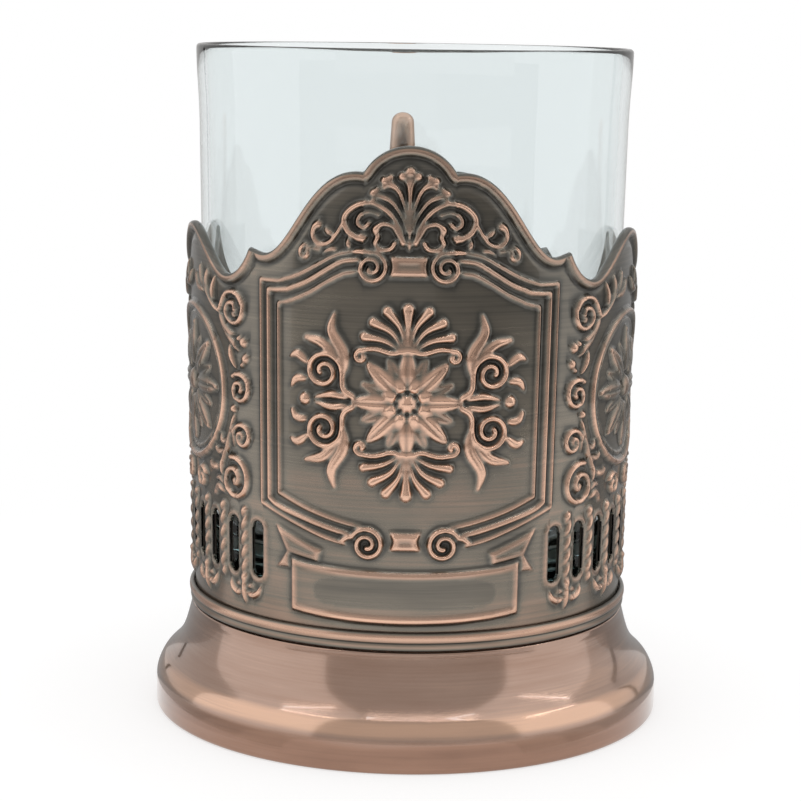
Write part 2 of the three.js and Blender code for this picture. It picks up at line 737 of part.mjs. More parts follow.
function thumbRest(strap) {
  const root = strap.getPointAt(thumbPlace);
  const tip = new THREE.Vector3(0, root.y - thumbLean, root.z + handleThickness / 2 + thumbHeight);
  const end = new THREE.Vector3(0, tip.y, tip.z - thumbEnd);
  const bend = new THREE.Vector3(0, tip.y, lerp(root.z, tip.z, 0.5));
  const line = new THREE.QuadraticBezierCurve3(root, bend, end);
  const round = new THREE.SphereGeometry(1, 12, 8);
  round.scale(thumbWidth / 2, thumbThickness / 2, thumbEnd).translate(end.x, end.y, end.z);
  return swept(line, thumbWidth, thumbThickness, 6).add(solid(round));
}

function handleGeometry() {
  const strap = strapLine();
  const padSkin = skin(touch, touch + padThickness);
  let body = swept(strap, handleWidth, handleThickness, handleSteps).add(thumbRest(strap));
  for (const rise of [handleUpperRise, handleLowerRise]) {
    const shape = new THREE.Shape();
    shape.absellipse(0, sleeveFoot + rise, padHalfWidth, padHalfHeight, 0, 2 * Math.PI, false, 0);
    body = body.add(pushedOut(shape, 180, 8).intersect(padSkin));
  }
  rivetPlaces().forEach((place) => {
    body = body.subtract(rivetHole(place, 0));
  });
  return geometryOf(body);
}

// A rivet along +Y, with distances measured from the cup's axis.
function rivetGeometry({ height }) {
  const wall = sleeveRadius(height);
  const seat = wall + touch + padThickness + touch;
  const innerEnd = wall - sleeveWall + rivetFlush;
  const profile = new THREE.Path();
  profile.moveTo(0, innerEnd);
  profile.lineTo(rivetShank, innerEnd);
  profile.lineTo(rivetShank, seat);
  profile.lineTo(rivetHead, seat);
  profile.quadraticCurveTo(rivetHead, seat + rivetHeadHeight, 0, seat + rivetHeadHeight);
  return closedBody(new THREE.LatheGeometry(profile.getPoints(4), 12));
}

function copper(color, roughness) {
  return new THREE.MeshStandardMaterial({ color, roughness, metalness: 1 });
}

const clearGlass = new THREE.MeshStandardMaterial({
  color: 0xdce9e8, roughness: 0.05, metalness: 0, transparent: true, opacity: 0.35,
});

const assembly = new THREE.Group();
const behind = new THREE.Group();
behind.rotation.z = degToRad(handleTurn);
assembly.add(behind);

function place(group, name, geometry, material) {
  const mesh = new THREE.Mesh(geometry, material);
  mesh.name = name;
  group.add(mesh);
  return mesh;
}

place(assembly, 'tea_glass', glassGeometry(), clearGlass);
place(assembly, 'sleeve', sleeveGeometry(), copper(0x8a6e5c, 0.42));
place(assembly, 'collar_ring', collarGeometry(), copper(0xa07a64, 0.36));
place(assembly, 'base_skirt', footGeometry(), copper(0xa5735d, 0.32));
place(assembly, 'floor_disc', floorGeometry(), copper(0x6d5a4e, 0.5));
place(behind, 'handle', handleGeometry(), copper(0x9a7560, 0.38));
for (const rivet of rivetPlaces()) {
  const mesh = place(behind, rivet.name, rivetGeometry(rivet), copper(0xb08468, 0.34));
  mesh.rotation.z = degToRad(rivet.angle);
  mesh.position.z = rivet.height;
}

// The origin is the middle of the whole part's footprint, handle included.
const span = new THREE.Box3().setFromObject(assembly, true);
assembly.position.y = -(span.min.y + span.max.y) / 2;

export default assembly;
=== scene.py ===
# %% [markdown]
# # A tea glass in a copper holder
# This lesson dresses a plain solid model of a tea glass and its metal holder. The solids are
# already at their real size and place, so every cell below makes a finer piece, or a finish,
# that stands exactly where a solid stands. Blender works in metres; the drawings here are in
# millimetres, because that is how a metalworker would note them.

# %% Load the fixed frame
import math

import bmesh
import bpy
import numpy as np
from mathutils import Matrix, Vector


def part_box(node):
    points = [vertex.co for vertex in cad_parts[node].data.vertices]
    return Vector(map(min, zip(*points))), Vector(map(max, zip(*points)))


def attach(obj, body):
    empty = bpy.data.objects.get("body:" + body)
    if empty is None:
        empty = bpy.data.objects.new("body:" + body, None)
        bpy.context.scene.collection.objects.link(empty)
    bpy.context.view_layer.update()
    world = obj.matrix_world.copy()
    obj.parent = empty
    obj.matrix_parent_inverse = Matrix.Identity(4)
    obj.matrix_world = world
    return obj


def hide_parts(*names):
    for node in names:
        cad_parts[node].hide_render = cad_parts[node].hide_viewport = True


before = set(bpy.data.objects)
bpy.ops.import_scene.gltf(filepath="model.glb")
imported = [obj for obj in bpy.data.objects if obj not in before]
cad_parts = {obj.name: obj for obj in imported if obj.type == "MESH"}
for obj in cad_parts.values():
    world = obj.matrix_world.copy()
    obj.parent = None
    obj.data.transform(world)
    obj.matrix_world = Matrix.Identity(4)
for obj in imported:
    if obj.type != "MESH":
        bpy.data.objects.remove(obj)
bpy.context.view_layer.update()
MM = 0.001


def box_mm(node):
    low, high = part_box(node)
    return np.array(low) / MM, np.array(high) / MM


foot_low, foot_high = box_mm("base_skirt")
sleeve_low, sleeve_high = box_mm("sleeve")
glass_low, glass_high = box_mm("tea_glass")
collar_low, collar_high = box_mm("collar_ring")
floor_low, floor_high = box_mm("floor_disc")
cup_axis = (foot_low + foot_high) / 2
cup_place = (cup_axis[0] * MM, cup_axis[1] * MM, 0)
foot_radius = (foot_high[0] - foot_low[0]) / 2
foot_top = foot_high[2]
sleeve_foot = sleeve_low[2]
sleeve_crest = sleeve_high[2]
print("cup axis at", cup_axis[:2].round(2), "foot radius", round(foot_radius, 2))

# %% [markdown]
# ## Helpers for lines and pieces
# A turned piece is an outline spun round the cup's axis, as on a lathe. Outlines are joined from
# arcs and curves with a few points each. Every finished mesh goes through one function that
# places it on the cup's axis, hangs it on the body it moves with and hides the solid it stands for.


# %% Curves for outlines
def bezier(start, pull_a, pull_b, end, steps):
    t = np.linspace(0, 1, steps + 1)[:, None]
    a, b, c, d = (np.array(p, float) for p in (start, pull_a, pull_b, end))
    return (1 - t) ** 3 * a + 3 * t * (1 - t) ** 2 * b + 3 * t**2 * (1 - t) * c + t**3 * d


def arc(centre, radius, from_angle, to_angle, steps):
    t = np.radians(np.linspace(from_angle, to_angle, steps + 1))
    return np.array(centre) + radius * np.stack([np.cos(t), np.sin(t)], -1)


def flowing(points, steps):
    """A smooth line through the points, in any number of dimensions."""
    p = np.array(points, float)
    p = np.vstack([2 * p[0] - p[1], p, 2 * p[-1] - p[-2]])
    gap = np.sqrt(np.linalg.norm(np.diff(p, axis=0), axis=1))
    t = np.linspace(0, 1, steps, endpoint=False)[:, None]
    line = []
    for i in range(1, len(p) - 2):
        g0, g1, g2 = gap[i - 1 : i + 2]
        lean_in = (p[i] - p[i - 1]) / g0 - (p[i + 1] - p[i - 1]) / (g0 + g1) + (p[i + 1] - p[i]) / g1
        lean_out = (p[i + 1] - p[i]) / g1 - (p[i + 2] - p[i]) / (g1 + g2) + (p[i + 2] - p[i + 1]) / g2
        a, b = lean_in * g1, lean_out * g1
        c3 = 2 * (p[i] - p[i + 1]) + a + b
        c2 = 3 * (p[i + 1] - p[i]) - 2 * a - b
        line.append(p[i] + t * (a + t * (c2 + t * c3)))
    return np.vstack([*line, p[-2]])


print("a quarter circle in 4 steps has", len(arc((0, 0), 1, 0, 90, 4)), "points")


# %% Pieces from points and faces
def make_piece(name, points, faces, body, node, material):
    mesh = bpy.data.meshes.new(name)
    mesh.from_pydata((np.asarray(points) * MM).tolist(), [], faces)
    mesh.polygons.foreach_set("use_smooth", [True] * len(mesh.polygons))
    mesh.materials.append(material)
    piece = bpy.data.objects.new(name, mesh)
    bpy.context.collection.objects.link(piece)
    piece.location = cup_place
    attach(piece, body)
    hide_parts(node)
    print(name, "has", len(mesh.polygons), "faces")
    return piece


def grid_faces(columns, rows, close_rows=True):
    """Four-cornered faces of a grid whose columns run round the cup and join up again."""
    here = np.arange(columns)[:, None] * rows + np.arange(rows)[None, :]
    across = np.roll(here, -1, axis=0)
    if close_rows:
        up, across_up = np.roll(here, -1, axis=1), np.roll(across, -1, axis=1)
        return np.stack([here, across, across_up, up], -1)
    return np.stack([here[:, :-1], across[:, :-1], across[:, 1:], here[:, 1:]], -1)


def store_wear_and_light(piece, values):
    """How far each point is worn bright (0 to 1) for the copper finishes, plus painted light and shade.
    """
    layer = piece.data.attributes.new("wear_and_light", "FLOAT", "POINT")
    layer.data.foreach_set("value", np.asarray(values, np.float32).ravel())


weld_distance = 1e-7


def face_outwards(piece, weld=False):
    """Turns all faces outwards; welding first joins the points that meet on the axis."""
    work = bmesh.new()
    work.from_mesh(piece.data)
    if weld:
        bmesh.ops.remove_doubles(work, verts=work.verts, dist=weld_distance)
    bmesh.ops.recalc_face_normals(work, faces=work.faces)
    work.to_mesh(piece.data)
    work.free()


turn_steps = 192


def turned_piece(name, outline, body, node, material, tone=0.5, closed=True):
    """An outline of (radius, height) points spun round the cup's axis."""
    turn = np.linspace(0, 2 * np.pi, turn_steps, endpoint=False)
    r, z = outline.T
    x, y = np.outer(np.sin(turn), r), -np.outer(np.cos(turn), r)
    points = np.stack([x, y, np.tile(z, (turn_steps, 1))], -1)
    faces = grid_faces(turn_steps, len(outline), closed).reshape(-1, 4).tolist()
    piece = make_piece(name, points.reshape(-1, 3), faces, body, node, material)
    store_wear_and_light(piece, np.tile(np.broadcast_to(tone, len(outline)), (turn_steps, 1)))
    face_outwards(piece, weld=True)


print("turned pieces have", turn_steps, "steps round the axis")

# %% [markdown]
# ## The camera
# The photograph is a shop picture, taken from a little above and from not far away. The ellipses
# of rim and foot tell how high the camera stood and how long its lens was, so those were fitted
# first. A small turn and a small roll bring the crest and the foot to where the picture has them.

# %% Camera
photo_size = 801
focal_px = 2250
sensor_mm = 36
camera_mm = np.array([-1.45, -350, 108.4])
look_down = math.radians(9.8)
roll = math.radians(0.85)
cup_turn = math.radians(0.84)

camera_data = bpy.data.cameras.new("photo_camera")
camera_data.sensor_width = sensor_mm
camera_data.lens = sensor_mm * focal_px / photo_size
camera_data.clip_start = 0.01
camera = bpy.data.objects.new("photo_camera", camera_data)
bpy.context.collection.objects.link(camera)
stand = Matrix.Translation(cup_place) @ Matrix.Rotation(cup_turn, 4, "Z")
aim = Matrix.Rotation(math.pi / 2 - look_down, 4, "X") @ Matrix.Rotation(roll, 4, "Z")
camera.matrix_world = stand @ Matrix.Translation(camera_mm * MM) @ aim
bpy.context.scene.camera = camera
bpy.context.scene.view_settings.view_transform = "Standard"
print("lens", round(camera_data.lens, 1), "mm")

# %% [markdown]
# ## White tent and floor
# The picture was taken in a white light tent. To the camera, in mirrors and through the glass the
# tent is pure white; as a light it is a little weaker, which leaves room for a soft shadow. The
# floor is one sheet of paper: near the foot it takes the shadow, and further out it fades into
# the white of the tent, so that no horizon shows. A helper for nodes keeps the cells short.


# %% Node helper
def add_node(tree, kind, inputs=None, **settings):
    """A node with its settings, and its inputs set to numbers or linked to sockets."""
    node = tree.nodes.new(kind)
    for key, value in settings.items():
        setattr(node, key, value)
    for key, value in (inputs or {}).items():
        if isinstance(value, bpy.types.NodeSocket):
            tree.links.new(value, node.inputs[key])
        else:
            node.inputs[key].default_value = value
    return node


def empty_tree(owner):
    """The cleared node tree of a material or of the world."""
    owner.use_nodes = True
    owner.node_tree.nodes.clear()
    return owner.node_tree


print("node helpers ready")


# %% White surroundings
tent_white = (1, 1, 1, 1)
tent_fill = 0.9
world = bpy.data.worlds.new("white_tent")
bpy.context.scene.world = world
tree = empty_tree(world)
light_path = add_node(tree, "ShaderNodeLightPath").outputs
seen = light_path["Is Camera Ray"]
for kind in ("Is Glossy Ray", "Is Transmission Ray"):
    either = add_node(tree, "ShaderNodeMath", {0: seen, 1: light_path[kind]}, operation="MAXIMUM")
    seen = either.outputs[0]
level = add_node(tree, "ShaderNodeMapRange", {"Value": seen, "To Min": tent_fill, "To Max": 1.0})
glow = add_node(tree, "ShaderNodeBackground", {"Color": tent_white, "Strength": level.outputs[0]})
add_node(tree, "ShaderNodeOutputWorld", {"Surface": glow.outputs[0]})
print("tent fill", tent_fill)


# %% Floor with a soft shadow
def plain_mesh(name, points, faces):
    """A mesh that belongs to the studio and not to the cup."""
    mesh = bpy.data.meshes.new(name)
    mesh.from_pydata([tuple(p) for p in points], [], faces)
    thing = bpy.data.objects.new(name, mesh)
    bpy.context.collection.objects.link(thing)
    return thing


floor_reach = 3.0
shadow_from, shadow_to = 0.06, 0.16
floor_own_glow, paper_level = 0.56, 0.55
floor_corners = [(-1, -1), (1, -1), (1, 1), (-1, 1)]
floor_points = [(x * floor_reach, y * floor_reach, 0) for x, y in floor_corners]
floor = plain_mesh("floor", floor_points, [(0, 1, 2, 3)])
floor.location = cup_place
floor_finish = bpy.data.materials.new("floor_white")
tree = empty_tree(floor_finish)
place = add_node(tree, "ShaderNodeTexCoord")
away = add_node(tree, "ShaderNodeVectorMath", {0: place.outputs["Object"]}, operation="LENGTH")
fade_limits = {"Value": away.outputs["Value"], "From Min": shadow_from, "From Max": shadow_to}
fade = add_node(tree, "ShaderNodeMapRange", fade_limits, interpolation_type="SMOOTHSTEP")
paper = add_node(tree, "ShaderNodeBsdfDiffuse", {"Color": (paper_level, paper_level, paper_level, 1)})
own = add_node(tree, "ShaderNodeEmission", {"Color": tent_white, "Strength": floor_own_glow})
near = add_node(tree, "ShaderNodeAddShader", {0: paper.outputs[0], 1: own.outputs[0]})
far = add_node(tree, "ShaderNodeEmission", {"Color": tent_white, "Strength": 1.0})
mixed = add_node(tree, "ShaderNodeMixShader", {0: fade.outputs[0], 1: near.outputs[0], 2: far.outputs[0]})
add_node(tree, "ShaderNodeOutputMaterial", {"Surface": mixed.outputs[0]})
floor.data.materials.append(floor_finish)
print("floor reaches", floor_reach, "m")

# %% [markdown]
# ## Cards and lamp strips
# Metal only shows what stands round it, so the darker parts of the tent are built as cards and
# not painted on the copper: the gap where the camera stands, the dimmer sides, two posts, and
# mats on the floor, of which those close to the foot give its band the darker ends. Only mirrors
# see them, so they cast no shadow and stay out of the picture. Three thin lamp strips along the
# tent's upper edges give the small sharp highlights.

# %% Cards and mats
card_steps = 17
mat_lift = np.array([0, 0, 0.0005])


def tent_point(angle, rise, distance):
    """A point round the cup; the angle is from the camera's direction to the right, in degrees."""
    a, e = math.radians(angle), math.radians(rise)
    flat = distance * math.cos(e)
    return np.array([flat * math.sin(a), cup_place[1] - flat * math.cos(a), distance * math.sin(e)])


def only_mirrored(name, grid, brightness):
    """A glowing sheet from a grid of points that only reflections see."""
    row = len(grid[0])
    corners = [i * row + j for i in range(len(grid) - 1) for j in range(row - 1)]
    faces = [(c, c + row, c + row + 1, c + 1) for c in corners]
    thing = plain_mesh(name, [p for line in grid for p in line], faces)
    thing.visible_camera = False
    thing.visible_transmission = False
    thing.visible_diffuse = False
    thing.visible_shadow = False
    finish = bpy.data.materials.new(name)
    card_tree = empty_tree(finish)
    shine = add_node(card_tree, "ShaderNodeEmission", {"Color": (*brightness, 1)})
    add_node(card_tree, "ShaderNodeOutputMaterial", {"Surface": shine.outputs[0]})
    thing.data.materials.append(finish)


def card(name, from_angle, to_angle, distance, low, high, brightness):
    """Part of a dome round the cup, with angles in degrees and its distance in metres."""
    angles = np.linspace(from_angle, to_angle, card_steps)
    rises = np.linspace(low, high, card_steps)
    only_mirrored(name, [[tent_point(a, e, distance) for e in rises] for a in angles], brightness)


def mat(name, from_angle, to_angle, near, far, brightness):
    """Part of a ring that lies on the floor round the cup, from near to far in metres."""
    angles = np.linspace(from_angle, to_angle, card_steps)
    grid = [[tent_point(a, 0, d) + mat_lift for d in (near, far)] for a in angles]
    only_mirrored(name, grid, brightness)


def grey(level):
    """A slightly warm grey, as of white cloth in shade."""
    return (level, 0.985 * level, 0.97 * level)


card("front_gap", -39, 51, 0.6, 3, 72, grey(0.56))
card("left_side", -142, -106, 0.7, -6, 45, grey(0.6))
card("right_side", 104, 126, 0.7, -6, 45, grey(0.72))
card("rear_side", 126, 218, 0.72, -6, 45, grey(0.62))
card("left_post", -142, -139.5, 0.68, -6, 11, grey(0.04))
card("right_post", 124, 127.5, 0.68, -6, 26, grey(0.25))
mat_far_from, mat_far_to = 0.25, 1.6
mat("front_mat", -60, 12, mat_far_from, mat_far_to, grey(0.24))
mat("front_mat_right", 12, 66, mat_far_from, mat_far_to, grey(0.04))
mat_close_from, mat_close_to, rear_mat_to = 0.045, 0.105, 0.7
close_mats = [("soft", 30, 44, 0.86), ("middle", 44, 58, 0.72), ("deep", 58, 98, 0.58)]
for side_name, side in (("left", -1), ("right", 1)):
    for name, from_angle, to_angle, level in close_mats:
        angles = side * from_angle, side * to_angle
        mat(side_name + "_mat_" + name, *angles, mat_close_from, mat_close_to, grey(level))
mat("rear_mat", 98, 262, mat_close_from, rear_mat_to, grey(0.32))

# %% Lamp strips
strip_width, strip_glow = 0.008, 8.0


def lamp_strip(name, start, end):
    """A thin strip of lamps between two points, in metres from the cup's foot, facing the cup."""
    a, b = np.array(start), np.array(end)
    data = bpy.data.lights.new(name, "AREA")
    data.shape = "RECTANGLE"
    data.size, data.size_y = float(np.linalg.norm(b - a)), strip_width
    data.energy = strip_glow * math.pi * data.size * strip_width
    lamp = bpy.data.objects.new(name, data)
    bpy.context.collection.objects.link(lamp)
    along = Vector(b - a).normalized()
    back = Vector((a + b) / 2).normalized()
    across = back.cross(along).normalized()
    back = along.cross(across)
    turn = Matrix((along, across, back)).transposed().to_4x4()
    lamp.matrix_world = Matrix.Translation(cup_place) @ Matrix.Translation((a + b) / 2) @ turn


lamp_strip("front_strip", (-0.1, -0.148, 0.5), (0.2, -0.135, 0.5))
lamp_strip("left_strip", (-0.345, -0.03, 0.5), (-0.215, -0.19, 0.5))
lamp_strip("right_strip", (0.525, -0.222, 0.5), (0.535, 0.26, 0.5))

# %% [markdown]
# ## Copper finishes
# The holder is copper-plated, darkened with a patina, and then rubbed back: the hollows stay
# dark and the raised edges are bright. Long fine brush marks run round the cup, and a clear
# lacquer lies over the outside. The brush marks are noise squeezed along the height, so they run
# on without a seam. Where the sheet is rubbed is known from its relief, so it comes as a value
# stored on the mesh and not as a map painted on it. On the foot and the sleeve that value also
# carries painted highlights and painted shade.

# %% Brush marks
brush_scale, brush_detail, brush_roughness = (28, 28, 2600), 4.0, 0.6
cloud_scale, cloud_detail, cloud_roughness = (45, 45, 260), 3.0, 0.5
noise_low, noise_high = 0.3, 0.7


def brushed_places(tree):
    """Places whose third part, height less radius, also grows across flat rings."""
    place = add_node(tree, "ShaderNodeTexCoord").outputs["Object"]
    parts = add_node(tree, "ShaderNodeSeparateXYZ", {0: place}).outputs
    flat = add_node(tree, "ShaderNodeVectorMath", {0: place, 1: (1, 1, 0)}, operation="MULTIPLY")
    radius = add_node(tree, "ShaderNodeVectorMath", {0: flat.outputs[0]}, operation="LENGTH")
    height_and_radius = {0: parts["Z"], 1: radius.outputs["Value"]}
    third = add_node(tree, "ShaderNodeMath", height_and_radius, operation="SUBTRACT")
    joined = {"X": parts["X"], "Y": parts["Y"], "Z": third.outputs[0]}
    return add_node(tree, "ShaderNodeCombineXYZ", joined).outputs[0]


def squeezed_noise(tree, places, scale, detail, roughness):
    """Noise squeezed along the height, so that it lies round the cup in long marks."""
    lines = add_node(tree, "ShaderNodeMapping", {0: places, "Scale": scale})
    settings = {"Vector": lines.outputs[0], "Scale": 1.0, "Detail": detail, "Roughness": roughness}
    return add_node(tree, "ShaderNodeTexNoise", settings).outputs["Fac"]


def plus_minus(tree, noise, amount):
    """The noise as a value between minus and plus the amount."""
    limits = {"From Min": noise_low, "From Max": noise_high, "To Min": -amount, "To Max": amount}
    return add_node(tree, "ShaderNodeMapRange", {"Value": noise, **limits}).outputs[0]


print("brush marks are", round(brush_scale[2] / brush_scale[0]), "times as long as wide")

# %% Copper finish
brush_share, scratch_strength, scratch_depth = 0.05, 0.16, 0.00006
lacquer_roughness, brush_stretch, quarter_turn = 0.03, 0.7, 0.25


def shade(r, g, b):
    return (r, g, b, 1)


def copper_finish(name, colours, roughness, coat, marks=1.0, clouds=0.05):
    """Copper with a patina: colours from the darkest hollow to the brightest edge."""
    material = bpy.data.materials.new(name)
    tree = empty_tree(material)
    places = brushed_places(tree)
    brush = squeezed_noise(tree, places, brush_scale, brush_detail, brush_roughness)
    cloud = squeezed_noise(tree, places, cloud_scale, cloud_detail, cloud_roughness)
    # The stored value is wear, plus painted highlights and painted shade on the foot and the sleeve.
    wear_and_light = add_node(tree, "ShaderNodeAttribute", attribute_name="wear_and_light").outputs["Fac"]
    uneven = {0: plus_minus(tree, brush, brush_share * marks), 1: plus_minus(tree, cloud, clouds)}
    uneven = add_node(tree, "ShaderNodeMath", uneven, operation="ADD").outputs[0]
    total = add_node(tree, "ShaderNodeMath", {0: uneven, 1: wear_and_light}, operation="ADD", use_clamp=True)
    tone = total.outputs[0]
    ramp = add_node(tree, "ShaderNodeValToRGB", {0: tone})
    stops = ramp.color_ramp.elements
    while len(stops) < len(colours):
        stops.new(0.5)
    for stop, (where, colour) in zip(stops, colours):
        stop.position = where
        stop.color = colour
    dull = add_node(tree, "ShaderNodeMapRange",
                    {"Value": tone, "To Min": roughness[0], "To Max": roughness[1]})
    scratch = add_node(tree, "ShaderNodeBump",
                       {"Strength": scratch_strength * marks, "Distance": scratch_depth, "Height": brush})
    grain = add_node(tree, "ShaderNodeTangent", direction_type="RADIAL", axis="Z")
    surface = add_node(tree, "ShaderNodeBsdfPrincipled", {
        "Base Color": ramp.outputs["Color"], "Roughness": dull.outputs[0], "Metallic": 1.0,
        "Normal": scratch.outputs[0], "Coat Weight": coat, "Coat Roughness": lacquer_roughness,
        "Anisotropic": brush_stretch * marks, "Anisotropic Rotation": quarter_turn,
        "Tangent": grain.outputs[0],
    })
    add_node(tree, "ShaderNodeOutputMaterial", {"Surface": surface.outputs[0]})
    return material


print("lacquer with roughness", lacquer_roughness)


# %% Colours of the copper
antique = [
    (0.0, shade(0.030, 0.027, 0.023)),
    (0.3, shade(0.105, 0.099, 0.086)),
    (0.5, shade(0.222, 0.194, 0.157)),
    (0.75, shade(0.47, 0.31, 0.23)),
    (1.0, shade(0.80, 0.50, 0.36)),
]
spun = [
    (0.0, shade(0.22, 0.118, 0.078)),
    (0.25, shade(0.33, 0.185, 0.125)),
    (0.6, shade(0.45, 0.30, 0.232)),
    (1.0, shade(0.74, 0.47, 0.33)),
]
unpolished = [(0.0, shade(0.54, 0.48, 0.43)), (1.0, shade(0.90, 0.84, 0.78))]
# Painted shade: near-black copper for the cut sides of the slots, which lie in shadow, over their dark
# patina.
shadowed = [(0.0, shade(0.020, 0.018, 0.016)), (1.0, shade(0.075, 0.065, 0.055))]
stamped_copper = copper_finish("stamped_copper", antique, (0.34, 0.2), 0.5)
collar_copper = copper_finish("collar_copper", antique, (0.4, 0.24), 0.4)
spun_copper = copper_finish("spun_copper", spun, (0.17, 0.15), 0.8, clouds=0.12)
cast_copper = copper_finish("cast_copper", antique, (0.45, 0.3), 0.25, 0.4)
dull_copper = copper_finish("dull_copper", unpolished, (0.62, 0.52), 0.0, 0.2)
painted_shade_copper = copper_finish("painted_shade_copper", shadowed, (0.5, 0.4), 0.0)
print("antique copper has", len(antique), "shades, spun copper", len(spun))

# %% [markdown]
# ## Clear glass
# The tumbler is ordinary pressed glass with a faint blue-green tint. A tint on the surface alone
# would colour thin and thick glass alike, and an absorbing volume alone would leave the thin wall
# without colour. So both are used: a light tint on the surface, and a weak absorption inside that
# deepens the heavy bottom and the edges, where light goes a long way through the glass.

# %% Glass finish
glass_tint = shade(0.880, 0.910, 0.913)
deep_tint, deep_strength = shade(0.65, 0.85, 0.86), 20.0
glass_bend = 1.5
clear_glass = bpy.data.materials.new("clear_glass")
tree = empty_tree(clear_glass)
surface = add_node(tree, "ShaderNodeBsdfPrincipled", {
    "Base Color": glass_tint, "Roughness": 0.0, "IOR": glass_bend, "Transmission Weight": 1.0,
})
depth = add_node(tree, "ShaderNodeVolumeAbsorption", {"Color": deep_tint, "Density": deep_strength})
add_node(tree, "ShaderNodeOutputMaterial", {"Surface": surface.outputs[0], "Volume": depth.outputs[0]})
print("glass tint", glass_tint[:3])

# %% [markdown]
# ## The tumbler
# One outline, from the middle of the bottom up the outside, over the rounded lip and down the
# inside. The bottom is thick with a shallow hollow under it, so that the glass stands on a ring,
# and a small round leads from the inside of the wall to the inside of the bottom.

# %% Tumbler
glass_foot, glass_rim = glass_low[2], glass_high[2]
rim_radius = (glass_high[0] - glass_low[0]) / 2
waist_radius = rim_radius - 0.5
heel_radius = waist_radius - 1.1
wall, bottom, lip = 1.4, 11.0, 0.6
outer_round, inner_round, straight_from = 5.0, 3.0, 2.0
hollow, stand_radius = 1.2, 25.0
bore, inside = heel_radius - wall, glass_foot + bottom
lip_from = glass_rim - 12.0
underside = bezier((0, glass_foot + hollow), (12, glass_foot + hollow), (20, glass_foot + hollow / 2),
                   (stand_radius, glass_foot), 12)
outer_lip = bezier((waist_radius, lip_from), (waist_radius + 0.1, glass_rim - 7),
                   (rim_radius, glass_rim - 4), (rim_radius, glass_rim - lip), 12)
inner_lip = bezier((rim_radius - 2 * lip, glass_rim - lip), (rim_radius - wall, glass_rim - 2.5),
                   (waist_radius - wall + 0.1, glass_rim - 7), (waist_radius - wall, lip_from), 12)
glass_outline = np.vstack([
    underside,
    arc((heel_radius - outer_round, glass_foot + outer_round), outer_round, -88, 0, 14),
    np.linspace((heel_radius, glass_foot + outer_round + straight_from), (waist_radius, lip_from), 24),
    outer_lip[1:],
    arc((rim_radius - lip, glass_rim - lip), lip, 0, 180, 12)[1:],
    inner_lip[1:],
    np.linspace((waist_radius - wall, lip_from), (bore, inside + inner_round + straight_from), 24)[1:],
    arc((bore - inner_round, inside + inner_round), inner_round, 0, -90, 14),
    np.linspace((bore - inner_round, inside), (0, inside), 6)[1:],
])
turned_piece("tumbler", glass_outline, "glass", "tea_glass", clear_glass, closed=False)

# %% [markdown]
# ## The spun foot, the collar and the floor
# The foot is sheet metal pressed over a form on a lathe: a neck, a hollow flare, a round shoulder
# and an upright band that turns in to a flat hem below. The collar is a wire ring with a large
# and a small bead. They are the same outlines as the solids, with many more steps. The colour
# follows the height: on the foot the shoulder carries a painted highlight and the band a painted
# shade, and on the collar the crowns of the beads are rubbed brightest.

# %% Foot
sheet = 0.9
neck_radius = foot_radius - 5.65
turn_out, turn_height, turn_slope = 4.12, 7.7, math.radians(48)
band_top, neck_end = 4.0, foot_top - 0.8
neck_pull, flare_pull, shoulder_pull, band_pull = (1.19, 11.0), 3.39, 0.9, 5.28
neck_round, band_round, hem_round, fold_round = 0.3, 0.6, 0.2, 0.4
hem_radius = foot_radius - sheet - 3.0
flange_radius = neck_radius - 6.0


def foot_line(inward):
    """The foot's outer line, or the same line moved in by the thickness of the sheet."""
    way = np.array([math.sin(turn_slope), -math.cos(turn_slope)])
    turn = np.array([neck_radius + turn_out, turn_height]) + inward * np.array([way[1], -way[0]])
    neck, edge = neck_radius - inward, foot_radius - inward
    flare = bezier((neck, neck_end), (neck + neck_pull[0], neck_pull[1]), turn - flare_pull * way,
                   turn, 24)
    shoulder = bezier(turn, turn + shoulder_pull * way, (edge, band_pull - 0.8 * inward),
                      (edge, band_top), 24)
    return np.vstack([flare, shoulder[1:]])


foot_outline = np.vstack([
    [(neck_radius - neck_round, foot_top)],
    arc((neck_radius - neck_round, foot_top - neck_round), neck_round, 90, 0, 4)[1:],
    foot_line(0),
    np.linspace((foot_radius, band_top - band_round), (foot_radius, band_round), 6),
    arc((foot_radius - band_round, band_round), band_round, 0, -90, 6)[1:],
    [(hem_radius + hem_round, 0), (hem_radius, hem_round), (hem_radius, sheet)],
    np.linspace((foot_radius - sheet - fold_round, sheet), (foot_radius - sheet, sheet + fold_round), 3),
    foot_line(sheet)[::-1],
    [(neck_radius - sheet, foot_top - sheet - hem_round)],
    [(neck_radius - sheet - hem_round, foot_top - sheet)],
    [(flange_radius, foot_top - sheet), (flange_radius, foot_top)],
])
# Painted light on the foot: a bright shoulder as a painted highlight, and a dark band below it as painted
# shade.
light_and_wear_heights = [3.6, 4.8, 5.8, 7.2, 8.0, 12, 16]
light_and_wear_levels = [0.2, 0.42, 0.92, 0.95, 0.62, 0.6, 0.5]
foot_painted_light = np.interp(foot_outline[:, 1], light_and_wear_heights, light_and_wear_levels)
turned_piece("spun_foot", foot_outline, "holder", "base_skirt", spun_copper, foot_painted_light)

